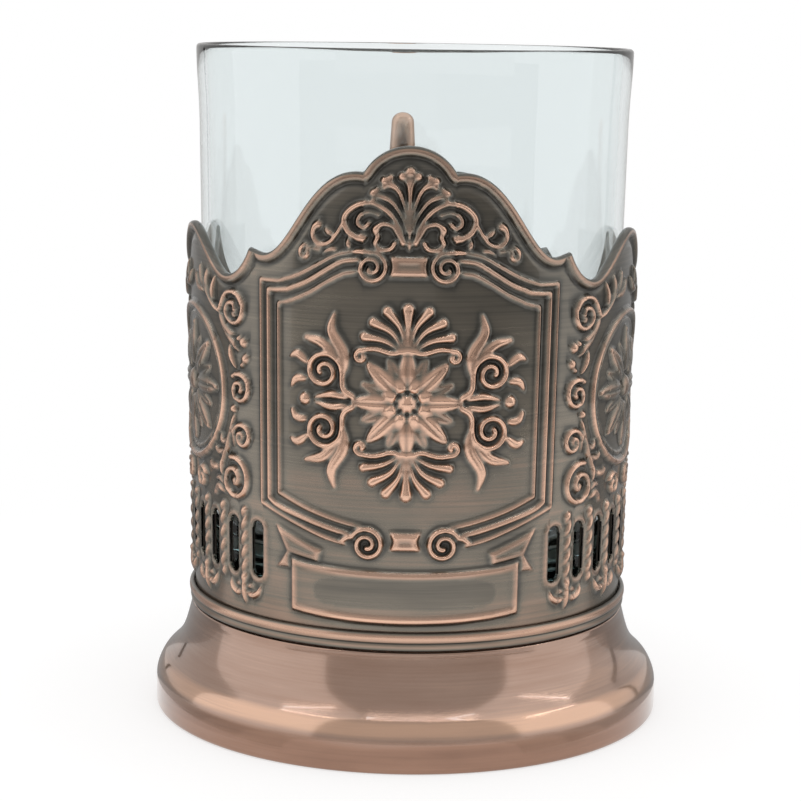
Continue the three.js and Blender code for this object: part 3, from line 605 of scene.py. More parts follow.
# %% Collar and floor disc
collar_foot, collar_top = collar_low[2], collar_high[2]
upper_bead, lower_bead = np.array([0.35, 0.75]), np.array([0.18, 0.55])
collar_bore = neck_radius - 0.3
collar_outline = np.vstack([
    [(collar_bore, collar_foot)],
    np.array([neck_radius, collar_foot + lower_bead[1]]) + lower_bead * arc((0, 0), 1, -90, 84, 12),
    np.array([neck_radius, collar_top - upper_bead[1]]) + upper_bead * arc((0, 0), 1, -84, 90, 14),
    [(collar_bore, collar_top)],
])
light_and_wear_heights = [0, 0.3, 0.6, 0.95, 1.1, 1.3, 1.8, 2.3, 2.6]
light_and_wear_levels = [0.2, 0.55, 0.65, 0.5, 0.18, 0.66, 0.95, 0.8, 0.3]
collar_wear = np.interp(collar_outline[:, 1] - collar_foot, light_and_wear_heights, light_and_wear_levels)
turned_piece("beaded_collar", collar_outline, "holder", "collar_ring", collar_copper,
             collar_wear)

disc_radius = (floor_high[0] - floor_low[0]) / 2
disc_hole = 4.5
disc_outline = np.vstack([
    np.linspace((disc_hole, floor_low[2]), (disc_radius, floor_low[2]), 12),
    np.linspace((disc_radius, floor_high[2]), (disc_hole, floor_high[2]), 12),
])
turned_piece("floor_plate", disc_outline, "holder", "floor_disc", dull_copper)

# %% [markdown]
# ## The stamped sleeve: its edge
# The sleeve is drawn flat, as its maker would draw it: u runs round the cup in millimetres at the
# wall's middle radius, z is the height. The upper edge is a wave: a crest in front with a notch
# beside it, a slope down to a small cusp, a valley, and a lower crest over each side. One half is
# drawn with a few curves and mirrored. The rear repeats the front, a little lower.

# %% Wavy edge of the sleeve
roll_radius = 34.2
glass_play, sleeve_wall = 0.8, 0.9
wall_low = heel_radius + glass_play + sleeve_wall
wall_high = waist_radius + glass_play + sleeve_wall


def wall_radius(z):
    return wall_low + (wall_high - wall_low) * (z - sleeve_foot) / (sleeve_crest - sleeve_foot)


def around(degrees):
    return np.radians(degrees) * roll_radius


rear_drop = 4.5
edge_heights = np.array([73.1, 69.3, 57.1, 57.6, 53.3, 60.0]) + sleeve_foot
crest, notch, shoulder, cusp, valley, side_top = edge_heights
rear_valley = 48.0 + sleeve_foot
notch_at, shoulder_at, cusp_at, valley_at, side_at = 10.9, 38.5, 42.2, 51.1, 72.0
far_cusp_at, rear_cusp_at = 2 * side_at - cusp_at, 180 - cusp_at
rear_valley_at = (far_cusp_at + rear_cusp_at) / 2


def dip(from_at, from_z, to_at, to_z):
    """A curve that falls from a cusp into a valley."""
    across, down = to_at - from_at, from_z - to_z
    return bezier((from_at, from_z), (from_at + 0.21 * across, from_z - 0.58 * down),
                  (to_at - 0.415 * across, to_z), (to_at, to_z), 40)


def swapped(line, middle, drop=0.0):
    """The line mirrored about a middle, and lowered."""
    return np.stack([2 * middle - line[::-1, 0], line[::-1, 1] - drop], -1)


climb, stride, fall = side_at - valley_at, shoulder_at - notch_at, notch - shoulder
front_edge = np.vstack([
    bezier((0, crest), (0.41 * notch_at, crest), (0.8 * notch_at, notch + 0.62 * (crest - notch)),
           (notch_at, notch), 40),
    bezier((notch_at, notch), (notch_at + 0.515 * stride, notch + 0.1 * fall),
           (notch_at + 0.667 * stride, notch - 1.08 * fall), (shoulder_at, shoulder), 60)[1:],
    [(cusp_at, cusp)],
])
side_edge = np.vstack([
    dip(cusp_at, cusp, valley_at, valley),
    bezier((valley_at, valley), (valley_at + 0.28 * climb, valley), (side_at - 0.4 * climb, side_top),
           (side_at, side_top), 40)[1:],
])
half_edge = np.vstack([
    front_edge,
    side_edge[1:],
    swapped(side_edge, side_at)[1:],
    dip(far_cusp_at, cusp, rear_valley_at, rear_valley)[1:],
    dip(rear_cusp_at, cusp - rear_drop, rear_valley_at, rear_valley)[::-1][1:],
    swapped(front_edge, 90, rear_drop)[1:],
])
print("edge runs from", round(half_edge[:, 1].min(), 1), "to", round(half_edge[:, 1].max(), 1), "mm")

# %% [markdown]
# ## A grid that fits the drawing
# A fine grid of points covers the sheet. Its columns fall exactly on the corners of the wavy edge
# and on the sides of the pierced slots, and its rows bend round the slots' ends, so that edges and
# openings stay clean however small they are. The columns stand closest in front, where one looks.

# %% Columns of the sheet
slots_per_side, slot_pitch = 12, 9.05
slot_width, slot_low, slot_high = 2.3, 8.5 + sleeve_foot, 17.1 + sleeve_foot
slot_round, slot_columns = slot_width / 2, 15
slot_angles = 90 + (np.arange(slots_per_side) - (slots_per_side - 1) / 2) * slot_pitch
slot_middles = np.sort(np.concatenate([-around(slot_angles), around(slot_angles)]))
front_step, side_step, rear_step = 0.2, 0.24, 0.42
front_reach, side_reach = 25, 66
corner_angles = [notch_at, shoulder_at, cusp_at, far_cusp_at]
corner_angles += [rear_cusp_at, 180 - shoulder_at, 180 - notch_at]
corners = around(np.array(corner_angles))
seam = around(180)


def column_places():
    slot_sides = [slot_middles - slot_round, slot_middles + slot_round]
    stops = np.concatenate([[-seam, 0], corners, -corners, *slot_sides])
    stops = np.append(np.unique(stops.round(6)), seam)
    places = []
    for a, b in zip(stops[:-1], stops[1:]):
        middle = (a + b) / 2
        if np.min(np.abs(slot_middles - middle)) < 0.01:
            places.append(middle - slot_round * np.cos(np.linspace(0, np.pi, slot_columns))[:-1])
            continue
        step = rear_step
        if abs(middle) < side_reach:
            step = front_step if abs(middle) < front_reach else side_step
        places.append(np.linspace(a, b, max(1, round((b - a) / step)), endpoint=False))
    return np.concatenate(places)


column_u = column_places()
columns = len(column_u)
print("sheet has", columns, "columns")

# %% Rows of the sheet
rows_low, rows_slot, rows_high = 34, 36, 250
rim_round = 0.45
edge_z = np.interp(np.abs(column_u), around(half_edge[:, 0]), half_edge[:, 1])
from_slot = np.min(np.abs(column_u[:, None] - slot_middles[None, :]), axis=1)
bulge = np.sqrt(np.clip(slot_round**2 - from_slot**2, 0, None))
low_line = slot_low + slot_round - bulge
high_line = slot_high - slot_round + bulge
share = np.linspace(0, 1, rows_low, endpoint=False)
part_low = sleeve_foot + share * (low_line - sleeve_foot)[:, None]
share = np.linspace(0, 1, rows_slot, endpoint=False)
part_slot = low_line[:, None] + share * (high_line - low_line)[:, None]
share = np.linspace(0, 1, rows_high)
part_high = high_line[:, None] + share * (edge_z - rim_round - high_line)[:, None]
sheet_z = np.hstack([part_low, part_slot, part_high])
rows = sheet_z.shape[1]
sheet_u = np.repeat(column_u[:, None], rows, axis=1)
flat_u, flat_z = sheet_u.ravel(), sheet_z.ravel()
flat_relief = np.zeros_like(flat_z)
print("sheet has", rows, "rows")

# %% [markdown]
# ## Tools for the stamped ornament
# A die-cutter works with a few tool marks: a round ridge along a line, a curl that winds into an
# eye, a leaf that swells and thins, a flat raised shape, and a cut groove. Each tool here looks
# at the points of the sheet near its line and raises them by a round profile. Where two marks
# cross, the higher one stays, as in metal pressed from one die.


# %% Ridges and grooves
def near_line(line, reach):
    """Which points of the sheet lie in the box round a line."""
    low, high = line.min(0) - reach, line.max(0) + reach
    return np.nonzero((flat_u > low[0]) & (flat_u < high[0]) & (flat_z > low[1]) & (flat_z < high[1]))[0]


def line_profile(line, half, spots):
    """For each spot: how far out it lies, in half-widths of the line, and where along the line."""
    u, z = flat_u[spots], flat_z[spots]
    best, along = np.full(len(u), 9.0), np.zeros(len(u))
    for i in range(len(line) - 1):
        (au, az), (du, dz) = line[i], line[i + 1] - line[i]
        t = np.clip(((u - au) * du + (z - az) * dz) / max(du * du + dz * dz, 1e-9), 0, 1)
        off = np.hypot(u - au - t * du, z - az - t * dz) / (half[i] + t * (half[i + 1] - half[i]))
        along = np.where(off < best, i + t, along)
        best = np.minimum(best, off)
    return best, along


def ridge(line, width, proud):
    """A round-topped ridge; width and proud are one number each, or one for each point."""
    line = np.asarray(line, float)
    half = np.broadcast_to(np.asarray(width, float) / 2, len(line))
    top = np.broadcast_to(np.asarray(proud, float), len(line))
    spots = near_line(line, half.max())
    off, along = line_profile(line, half, spots)
    tops = np.interp(along, np.arange(len(line)), top)
    rise = tops * np.sqrt(np.clip(1 - off**2, 0, 1))
    flat_relief[spots] = np.where(off < 1, np.maximum(flat_relief[spots], rise), flat_relief[spots])


def groove(line, width, depth):
    """A round-bottomed groove."""
    spots = near_line(line, width)
    off, _ = line_profile(line, np.full(len(line), width / 2), spots)
    flat_relief[spots] -= depth * np.clip(1 - off**2, 0, 1)


print("the tools shape", flat_relief.size, "points")


# %% Curls, leaves and fronds
curl_eye = 0.22


def curl(centre, radius, start, sweep):
    """A line that winds from a circle into its eye; angles in degrees, sweep with its sign."""
    t = np.linspace(0, 1, max(8, int(abs(sweep) / 14)))
    turn = np.radians(start + sweep * t)
    r = radius * (1 - (1 - curl_eye) * t**1.15)
    return np.array(centre) + r[:, None] * np.stack([np.cos(turn), np.sin(turn)], -1)


def leaf(line, width, proud, vein=0.0):
    """A ridge that swells from a thin root and ends in a point."""
    line = flowing(line, 6)
    t = np.linspace(0, 1, len(line))
    swell = 0.25 + 0.75 * np.sin(np.pi * t**0.75) ** 0.8
    ridge(line, width * swell, proud * (0.5 + 0.5 * swell))
    if vein:
        groove(line[1:-1], 0.22 * width, vein)


def club(line, width, proud):
    """A ridge that thickens towards a round end."""
    line = flowing(line, 6)
    t = np.linspace(0, 1, len(line))
    ridge(line, width * (0.4 + 0.6 * t**2), proud * (0.7 + 0.3 * t))


def bead(line, radius, proud):
    """A round bead on the first point of a line."""
    ridge([line[0], line[0] + np.array([0.01, 0])], 2 * radius, proud)


def frond(line, width, proud):
    """A thin stem that opens like a trumpet into three small lobes."""
    line = flowing(line, 6)
    t = np.linspace(0, 1, len(line))
    opening = np.clip((t - 0.62) / 0.38, 0, 1) ** 2
    ridge(line, width * (0.6 + 1.15 * opening), proud * (1 - 0.25 * opening))
    ahead = line[-1] - line[-3]
    ahead = ahead / np.linalg.norm(ahead)
    aside = np.array([-ahead[1], ahead[0]])
    bead([line[-1] + 0.5 * width * ahead], 0.66 * width, proud)
    for side in (-1, 1):
        bead([line[-1] + width * (0.08 * ahead + 0.8 * side * aside)], 0.5 * width, 0.9 * proud)


print("a curl of one turn has", len(curl((0, 0), 1, 0, 360)), "points")


# %% Raised plates and mirrored copies
plate_slope, rim_inset, rim_half = 0.5, 0.75, 0.45


def plate(outline, proud, rim):
    """A flat raised shape with a raised rim."""
    outline = np.asarray(outline, float)
    loop = np.vstack([outline, outline[:1]])
    spots = near_line(loop, 0)
    u, z = flat_u[spots], flat_z[spots]
    inside_shape = np.zeros(len(u), bool)
    for (au, az), (bu, bz) in zip(loop[:-1], loop[1:]):
        if az != bz:
            inside_shape ^= ((az > z) != (bz > z)) & (u < (bu - au) * (z - az) / (bz - az) + au)
    off, _ = line_profile(loop, np.ones(len(loop)), spots)
    step = np.clip(off / plate_slope, 0, 1)
    rise = proud * step * (2 - step) + rim * np.exp(-(((off - rim_inset) / rim_half) ** 2))
    flat_relief[spots] = np.where(inside_shape, np.maximum(flat_relief[spots], rise), flat_relief[spots])


medallion_u = around(side_at)
both_sides = [(1, 0.0, 0.0), (-1, 0.0, 0.0)]
four_ways = [*both_sides, (-1, 2 * medallion_u, 0.0), (1, -2 * medallion_u, 0.0)]
front_and_rear = [*both_sides, (-1, seam, -rear_drop), (1, -seam, -rear_drop)]


def stamp(tool, line, *sizes, copies=both_sides):
    """Uses a tool on a line and on its mirror images."""
    line = np.asarray(line, float)
    for turn, shift, lift in copies:
        tool(line * (turn, 1) + (shift, lift), *sizes)


print("ornament tools ready, medallions at", round(medallion_u, 1), "mm")

# %% [markdown]
# ## Shield frame and volutes
# Three mouldings run round the shield: a wide bright one between two narrow ones, with dark
# grooves between. At top and bottom the mouldings roll into volutes with a plain bar between.

# %% Shield frame
frame_lines = [
    (22.85, 37.1, 70.1, [(9, 32.5), (12, 33.2), (15, 34.2), (20, 36.0)],
     [(19.6, 70.1), (16.4, 71.2), (13.3, 72.8), (10.3, 74.4), (7.4, 75.0)], 0.75, 0.50),
    (21.4, 38.0, 68.75, [(8.4, 34.0), (10, 34.3), (15, 35.6), (20, 37.1)],
     [(18.2, 69.0), (15.0, 70.3), (12.0, 72.1), (9.6, 73.5), (7.2, 73.9)], 0.95, 0.62),
    (19.7, 39.0, 66.9, [(6.6, 35.1), (10, 35.8), (15, 37.2)],
     [(17.4, 67.5), (14.4, 68.9), (11.4, 70.7), (9.2, 71.8), (7.0, 72.2)], 0.7, 0.42),
]
for half_width, corner_low, corner_high, bottom_line, top_line, width, proud in frame_lines:
    post = [(half_width, corner_low), (half_width, corner_high)]
    moulding = np.vstack([flowing([*bottom_line, post[0]], 4), post, flowing(top_line, 5)])
    stamp(ridge, moulding, width, proud)

volute_low = np.vstack([[(9.2, 33.0), (8.2, 33.6)], curl((5.6, 32.5), 2.45, 25, 610)])
volute_high = np.vstack([[(7.6, 75.0), (6.6, 75.05)], curl((5.3, 72.75), 2.25, 82, 600)])
stamp(ridge, volute_low, 0.85, 0.85)
stamp(ridge, volute_high, 0.8, 0.85)
bar_low = [(-2.3, 31.6), (-1.9, 33.1), (-2.3, 34.5), (2.3, 34.5), (1.9, 33.1), (2.3, 31.6)]
bar_high = [(-2.9, 71.4), (-2.6, 73), (-2.9, 74.6), (2.9, 74.6), (2.6, 73), (2.9, 71.4)]
plate(bar_low, 0.55, 0.12)
plate(bar_high, 0.55, 0.12)
print("frame stands", round(float(flat_relief.max()), 2), "mm proud")

# %% [markdown]
# ## Banner
# Under the shield hangs a ribbon: a bare panel with a raised rim, folded back at both ends into
# a swallow tail. The panel stays bare.

# %% Banner
half_banner = 17.6
tail = [(12.4, 31.3), (20.6, 34.4), (18.5, 30.4), (20.3, 27.8), (half_banner, 27.9), (half_banner, 30.0),
        (12.9, 29.2)]
stamp(plate, tail, 0.42, 0.16)
sag = bezier((-half_banner, 21.6), (-9, 20.2), (9, 20.2), (half_banner, 21.6), 14)
hang = bezier((half_banner, 29.8), (13, 28.3), (-13, 28.3), (-half_banner, 29.8), 14)
plate(np.vstack([sag, hang]), 0.5, 0.2)
print("banner panel is", 2 * half_banner, "mm wide")

# %% [markdown]
# ## Palmette on the crest
# The crest carries a palmette: a fan of club-ended fronds over two rolled leaves, with tendrils
# running down to both sides. It is drawn for one half and mirrored, in front and behind.

# %% Palmette
fronds = [
    ([(0, 77.2), (0, 80.5), (0, 83.5), (0, 85.6)], 1.35, 0.85),
    ([(0.3, 78.8), (0.75, 81.6), (1.7, 83.8), (3.1, 84.8)], 1.0, 0.8),
    ([(0.4, 78.0), (1.2, 80.3), (2.7, 82.2), (4.7, 83.1)], 0.95, 0.8),
]
for line, width, proud in fronds:
    stamp(frond, line, width, proud, copies=front_and_rear)

outer_roll = flowing([(0.7, 76.4), (1.4, 78.6), (3.0, 80.7), (5.3, 81.9), (7.7, 81.4), (9.2, 79.7),
                      (8.7, 77.9), (7.2, 76.9)], 6)
inner_roll = flowing([(4.2, 80.3), (5.6, 80.7), (6.9, 80.2), (7.3, 79.0), (6.4, 78.4), (5.7, 79.0)], 6)
heart_roll = flowing([(0.9, 76.2), (1.6, 77.6), (2.3, 78.7), (3.7, 79.0), (4.9, 78.2), (4.4, 77.2),
                      (4.8, 76.2), (3.9, 75.4), (2.6, 75.5), (2.0, 76.4)], 5)
hook = flowing([(9.3, 79.2), (10.3, 77.4), (11.5, 76.1), (13.0, 75.9), (13.9, 77.0), (13.6, 78.4)], 6)
tendril = curl((15.1, 74.5), 1.15, 140, -400)
rolls = [
    (outer_roll, 0.7, 1.15, 0.85),
    (inner_roll, 0.55, 0.8, 0.65),
    (heart_roll, 0.8, 0.8, 0.8),
    (hook, 0.6, 0.95, 0.8),
    (tendril, 0.62, 0.62, 0.7),
]
for line, from_width, to_width, proud in rolls:
    stamp(ridge, line, np.linspace(from_width, to_width, len(line)), proud, copies=front_and_rear)

crest_beads = [((6.7, 77.0), 0.8, 0.85), ((4.5, 78.3), 0.55, 0.8), ((13.1, 78.6), 0.62, 0.8)]
for spot, radius, proud in crest_beads:
    stamp(bead, [spot], radius, proud, copies=front_and_rear)

crest_leaves = [
    ([(10.4, 77.1), (11.4, 77.5), (12.2, 78.2)], 0.9, 0.65),
    ([(8.4, 75.4), (8.6, 76.2), (8.3, 77.3)], 0.95, 0.65),
    ([(10.2, 75.2), (11.2, 75.2), (12.4, 74.6)], 0.9, 0.6),
    ([(12.6, 75.0), (13.8, 75.2), (15.0, 75.7)], 0.75, 0.6),
    ([(0, 76.9), (0, 76.2), (0, 75.3)], 0.95, 0.75),
]
for line, width, proud in crest_leaves:
    stamp(leaf, line, width, proud, copies=front_and_rear)
print("palmettes on", len(front_and_rear) // 2, "crests")

# %% [markdown]
# ## Rosette cartouche on the shield
# The middle of the shield holds a plain traditional filling: a rosette with three rows of petals
# round a bead, palmettes above and below it, and a pair of scrolls with leaves on each side. All
# but the rosette is drawn for one quarter and mirrored.

# %% Rosette
heart = np.array([0.0, 53.4])
petal_step = 45
petal_rows = [
    (22.5, (3.0, 5.0, 6.9), 2.4, 0.6, 0.2),
    (0, (2.0, 4.9, 7.9), 2.9, 0.9, 0.25),
    (22.5, (1.4, 2.5, 3.9), 1.6, 1.15, 0.2),
]


def petal(middle, angle, reaches, width, proud, vein):
    """A veined leaf that points away from the middle of a rosette."""
    way = np.array([math.cos(math.radians(angle)), math.sin(math.radians(angle))])
    leaf([middle + reach * way for reach in reaches], width, proud, vein)


bare_shield = flat_relief.copy()
for offset, reaches, width, proud, vein in petal_rows:
    for angle in range(0, 360, petal_step):
        petal(heart, angle + offset, reaches, width, proud, vein)
groove(arc(heart, 1.7, 0, 360, 24), 0.55, 0.5)
bead([heart], 1.35, 1.25)
print("rosette of", len(petal_rows) * 360 // petal_step, "petals")

# %% Palmettes and scrolls of the cartouche
up_and_down = [(1, 1), (1, -1), (-1, 1), (-1, -1)]


def quarter(tool, line, *sizes, copies=up_and_down):
    """Uses a tool in all four quarters round the rosette."""
    line = np.asarray(line, float) - heart
    for across, upright in copies:
        tool(line * (across, upright) + heart, *sizes)


quarter(club, [(0, 61.4), (0, 64.0), (0, 66.9)], 1.9, 0.85, copies=[(1, 1), (1, -1)])
fan = [
    ([(0.4, 61.4), (1.1, 64.3), (2.9, 66.6)], 1.5525),
    ([(0.7, 61.2), (2.3, 63.6), (4.9, 65.0)], 1.485),
    ([(0.9, 61.0), (3.4, 62.4), (6.2, 62.9)], 1.4175),
]
for line, width in fan:
    quarter(club, line, width, 0.8)
sash = np.vstack([flowing([(0.0, 61.0), (2.2, 60.6), (4.6, 61.2), (6.6, 61.0)], 6)[:-1],
                  curl((6.6, 60.0), 1.0, 90, -330)])
quarter(ridge, sash, 0.72, 0.8)
scroll = np.vstack([flowing([(7.9, 54.2), (9.2, 55.2), (9.4, 57.2)], 5)[:-1],
                    curl((12.2, 57.6), 2.8, 180, -560)])
quarter(ridge, scroll, np.linspace(0.95, 0.75, len(scroll)), 0.85)
scroll_leaves = [
    ([(9.4, 57.0), (9.2, 60.2), (11.0, 63.6), (10.6, 66.0)], 2.0, 0.8, 0.22),
    ([(9.8, 59.0), (12.2, 61.6), (15.2, 62.4)], 1.8, 0.8, 0.22),
    ([(14.6, 58.6), (16.4, 59.8), (17.6, 59.4)], 1.4, 0.75, 0.0),
    ([(14.8, 56.4), (16.6, 56.2), (17.4, 55.0)], 1.3, 0.75, 0.0),
    ([(8.4, 53.9), (11.0, 54.3), (13.6, 53.7)], 1.2, 0.75, 0.0),
]
for line, width, proud, vein in scroll_leaves:
    quarter(leaf, line, width, proud, vein)
stamp(bead, [(15.2, 53.4)], 0.95, 0.85)
stamped = flat_relief != bare_shield
print("cartouche is", np.ptp(flat_u[stamped]).round(1), "by", np.ptp(flat_z[stamped]).round(1), "mm")

# %% [markdown]
# ## Side scrolls and medallions
# Each side has a round medallion with a ring and a small rosette, and a column of scrolls,
# buds and leaves in front of it and, mirrored, behind it.

# %% Medallions
ring_middle = np.array([medallion_u, 52.7])
for side in (1, -1):
    middle = ring_middle * (side, 1)
    ridge(arc(middle, 11.6, 0, 360, 72), 1.15, 0.75)
    ridge(arc(middle, 10.3, 0, 360, 72), 0.5, 0.25)
    for angle in range(0, 360, petal_step):
        petal(middle, angle + 22.5, (2.6, 5.0, 7.4), 2.6, 0.6, 0.2)
        petal(middle, angle, (2.2, 5.6, 9.0), 3.2, 0.85, 0.22)
    groove(arc(middle, 2.2, 0, 360, 24), 0.55, 0.4)
    bead([middle], 1.9, 1.1)
print("medallion centres at", ring_middle.round(1))

# %% Side scrolls
side_leaves = [
    ([(28.2, 66.9), (27.3, 66.2), (27.6, 65.2)], 1.0, 0.5),
    ([(32.4, 64.4), (31.0, 62.4), (29.4, 59.8)], 1.5, 0.75),
    ([(31.2, 63.0), (29.6, 61.6), (28.6, 61.4)], 1.1, 0.75),
    ([(30.2, 61.2), (28.6, 60.0), (27.6, 59.0)], 1.2, 0.75),
    ([(29.6, 60.0), (29.4, 58.0), (28.4, 56.4)], 1.2, 0.75),
    ([(34.4, 65.6), (34.6, 67.4), (34.0, 69.4)], 1.5, 0.75),
    ([(35.4, 66.4), (36.6, 68.2), (36.6, 70.2)], 1.6, 0.75),
    ([(36.2, 67.2), (38.2, 68.6), (39.2, 70.6)], 1.5, 0.75),
    ([(37.4, 67.0), (39.6, 67.4), (41.4, 69.2)], 1.4, 0.75),
    ([(28.9, 49.4), (29.9, 46.0), (31.4, 43.0), (33.6, 40.2)], 1.2, 0.75),
    ([(29.4, 47.6), (28.8, 46.2), (29.2, 44.6)], 0.9, 0.75),
    ([(30.4, 45.2), (31.8, 45.0), (32.4, 46.2)], 1.1, 0.75),
    ([(31.2, 43.6), (33.0, 43.2), (34.0, 44.0)], 1.1, 0.75),
    ([(32.0, 42.2), (32.2, 40.6), (31.6, 39.4)], 1.1, 0.75),
    ([(33.0, 40.8), (34.8, 40.6), (36.2, 41.2)], 1.2, 0.75),
    ([(31.6, 37.4), (33.0, 37.9), (34.9, 36.4)], 1.5, 0.75),
    ([(31.2, 38.4), (32.6, 39.2), (34.2, 38.8)], 1.1, 0.75),
    ([(27.0, 38.8), (27.2, 40.4), (28.2, 41.4)], 0.9, 0.5),
]
side_beads = [
    ((28.7, 64.4), 0.75, 0.65),
    ((26.6, 60.4), 0.85, 0.8),
    ((26.2, 58.0), 0.75, 0.8),
    ((27.6, 60.9), 0.45, 0.8),
    ((26.9, 57.0), 0.4, 0.8),
    ((29.0, 50.2), 0.6, 0.8),
    ((27.4, 53.0), 0.6, 0.65),
    ((27.0, 46.0), 0.6, 0.65),
    ((28.9, 39.4), 0.6, 0.65),
]
side_curls = [
    ((27.5, 53.3), 2.35, 50, 500, 0.85),
    ((27.0, 46.2), 1.95, 20, 480, 0.8),
    ((28.9, 39.6), 3.35, 75, 520, 0.95),
    ((39.2, 38.2), 1.75, 150, -470, 0.8),
]
upper_scroll = np.vstack([flowing([(36.4, 67.4), (34.6, 65.6), (32.6, 64.6), (31.9, 65.6)], 5)[:-1],
                          curl((28.9, 65.0), 2.95, 8, 520)])
stamp(ridge, upper_scroll, np.linspace(0.8, 0.95, len(upper_scroll)), 0.85, copies=four_ways)
for line, width, proud in side_leaves:
    stamp(leaf, line, width, proud, copies=four_ways)
for spot, radius, proud in side_beads:
    stamp(bead, [spot], radius, proud, copies=four_ways)
for centre, radius, start, sweep, width in side_curls:
    stamp(ridge, curl(centre, radius, start, sweep), width, 0.85, copies=four_ways)
print(len(side_leaves), "leaves and", len(side_curls) + 1, "scrolls, four times each")

# %% [markdown]
# ## Pierced arcade
# Below the scrolls the sheet is pierced by rows of slots. Each slot has a soft rim, a twisted
# rib stands between two slots, and a small lily hangs under every second rib. The rib's twist is
# a wave that leans as it climbs, cut to the width of the rib.

# %% Arcade
soft_rim, soft_rim_out, soft_rim_half, soft_rim_reach = 0.26, 0.45, 0.38, 2.4
rib_half, rib_below, rib_above = 0.8, 0.2, 1.1
twist_length, twist_lean, rope_low, rope_high = 2.15, 1.15, 0.12, 0.6
lily_outer = [(0.5, -2.6), (1.7, -2.9), (2.9, -2.3), (3.4, -1.3)]
lily_inner = [(0.5, -1.7), (1.4, -1.5), (2.2, -1.7)]
rib_angles = 90 + (np.arange(slots_per_side - 1) - (slots_per_side - 2) / 2) * slot_pitch


def slot_rim(u):
    spine = np.array([(u, slot_low + slot_round), (u, slot_high - slot_round)])
    spots = near_line(spine, soft_rim_reach)
    off, _ = line_profile(spine, np.ones(2), spots)
    rise = soft_rim * np.exp(-(((off - slot_round - soft_rim_out) / soft_rim_half) ** 2))
    flat_relief[spots] = np.maximum(flat_relief[spots], rise)


def twisted_rib(u):
    spine = np.array([(u, slot_low - rib_below), (u, slot_high + rib_above)])
    spots = near_line(spine, 0.85)
    off, _ = line_profile(spine, np.full(2, rib_half), spots)
    twist = np.abs(np.sin(np.pi * (flat_z[spots] - twist_lean * (flat_u[spots] - u)) / twist_length))
    rope = (rope_low + rope_high * twist**0.7) * np.sqrt(np.clip(1 - off**2, 0, 1))
    flat_relief[spots] = np.maximum(flat_relief[spots], rope)


def lily(u):
    leaf([(u, slot_low - 0.3), (u, slot_low - 2.6), (u, slot_low - 4.2)], 1.15, 0.85)
    bead([np.array([u, slot_low - 0.4])], 0.7, 0.95)
    for side in (-1, 1):
        leaf([(u + side * x, slot_low + z) for x, z in lily_outer], 0.95, 0.85)
        leaf([(u + side * x, slot_low + z) for x, z in lily_inner], 0.7, 0.7)


for u in slot_middles:
    slot_rim(u)
for side in (1, -1):
    for i, u in enumerate(side * around(rib_angles)):
        twisted_rib(u)
        if i % 2 == 0:
            lily(u)
print(len(slot_middles), "slots,", 2 * len(rib_angles), "ribs")

# %% [markdown]
# ## Behind
# Nothing of the rear shows in the photograph, so it follows from the front: a plain panel in a
# double moulding behind the handle, and a running scroll between that panel and the side.

# %% Rear ornament
panel_reach, panel_low, panel_high = 19.0, 38.0, 61.0
panel_start, panel_corner = 10.5, 3
behind = [(-1, seam, 0.0), (1, -seam, 0.0)]
for inset, width in ((0.0, 0.9), (1.7, 0.6)):
    reach, low, high = panel_reach - inset, panel_low + inset, panel_high - inset
    lower = [(panel_start, low), (reach - panel_corner, low), (reach, low + panel_corner)]
    upper = [(reach, high - panel_corner), (reach - panel_corner, high), (panel_start, high)]
    stamp(ridge, lower + upper, width, 0.6, copies=behind)
running = flowing([(37.0, 36.5), (34.5, 40.0), (31.5, 43.0), (31.0, 48.0), (34.5, 51.0), (37.0, 54.5),
                   (35.5, 58.5), (33.0, 60.5)], 6)
stamp(ridge, running, np.linspace(0.8, 1.0, len(running)), 0.8, copies=behind)
rear_curls = [
    ((27.0, 41.0), 3.0, -30, 480),
    ((39.6, 47.0), 3.2, 150, 500),
    ((29.8, 55.2), 3.2, -40, 490),
]
for centre, radius, start, sweep in rear_curls:
    stamp(ridge, curl(centre, radius, start, sweep), 0.85, 0.8, copies=behind)
rear_leaves = [
    [(31.5, 44.0), (29.2, 45.8), (27.0, 46.2)],
    [(33.0, 50.0), (32.0, 52.6), (33.0, 55.0)],
    [(36.6, 53.4), (38.8, 54.6), (40.6, 53.6)],
    [(35.8, 38.6), (37.8, 40.2), (38.2, 42.0)],
    [(34.0, 59.8), (31.4, 61.4), (28.6, 61.0)],
    [(36.2, 57.4), (38.0, 59.2), (37.4, 61.4)],
]
for line in rear_leaves:
    stamp(leaf, line, 1.4, 0.75, copies=behind)
print("rear panel is", 2 * panel_reach, "mm wide")

# %% [markdown]
# ## Beaded edge
# The edge is rolled over a wire, which stands out as a bright round bead with a dark line under
# it. The bead follows the wave, so its height comes from the distance to the edge line. Only the
# points near the edge are measured, a stretch at a time, which keeps it quick.

# %% Edge bead
bead_width, bead_proud = 1.3, 0.6
line_depth, line_below, line_half = 0.16, 0.35, 0.4
bead_half, bead_end = 0.55 * bead_width, 1.1 * bead_width
measured_below, stretches, look_aside, far_away = 12, 60, 4, 99.0
edge_line = np.stack([around(half_edge[:, 0]), half_edge[:, 1]], -1)
whole_edge = np.vstack([edge_line[::-1] * (-1, 1), edge_line[1:]])
close = np.nonzero((edge_z[:, None] - sheet_z).ravel() < measured_below)[0]
to_edge = np.full(sheet_z.size, far_away)
for stretch in np.array_split(close, stretches):
    low, high = flat_u[stretch].min() - look_aside, flat_u[stretch].max() + look_aside
    part = whole_edge[(whole_edge[:, 0] > low) & (whole_edge[:, 0] < high)]
    spots = np.stack([flat_u[stretch], flat_z[stretch]], -1)
    to_edge[stretch] = np.sqrt(((spots[:, None] - part[None]) ** 2).sum(-1)).min(1)
across_bead = (to_edge - bead_half) / bead_half
flat_relief -= line_depth * np.exp(-(((to_edge - bead_width - line_below) / line_half) ** 2))
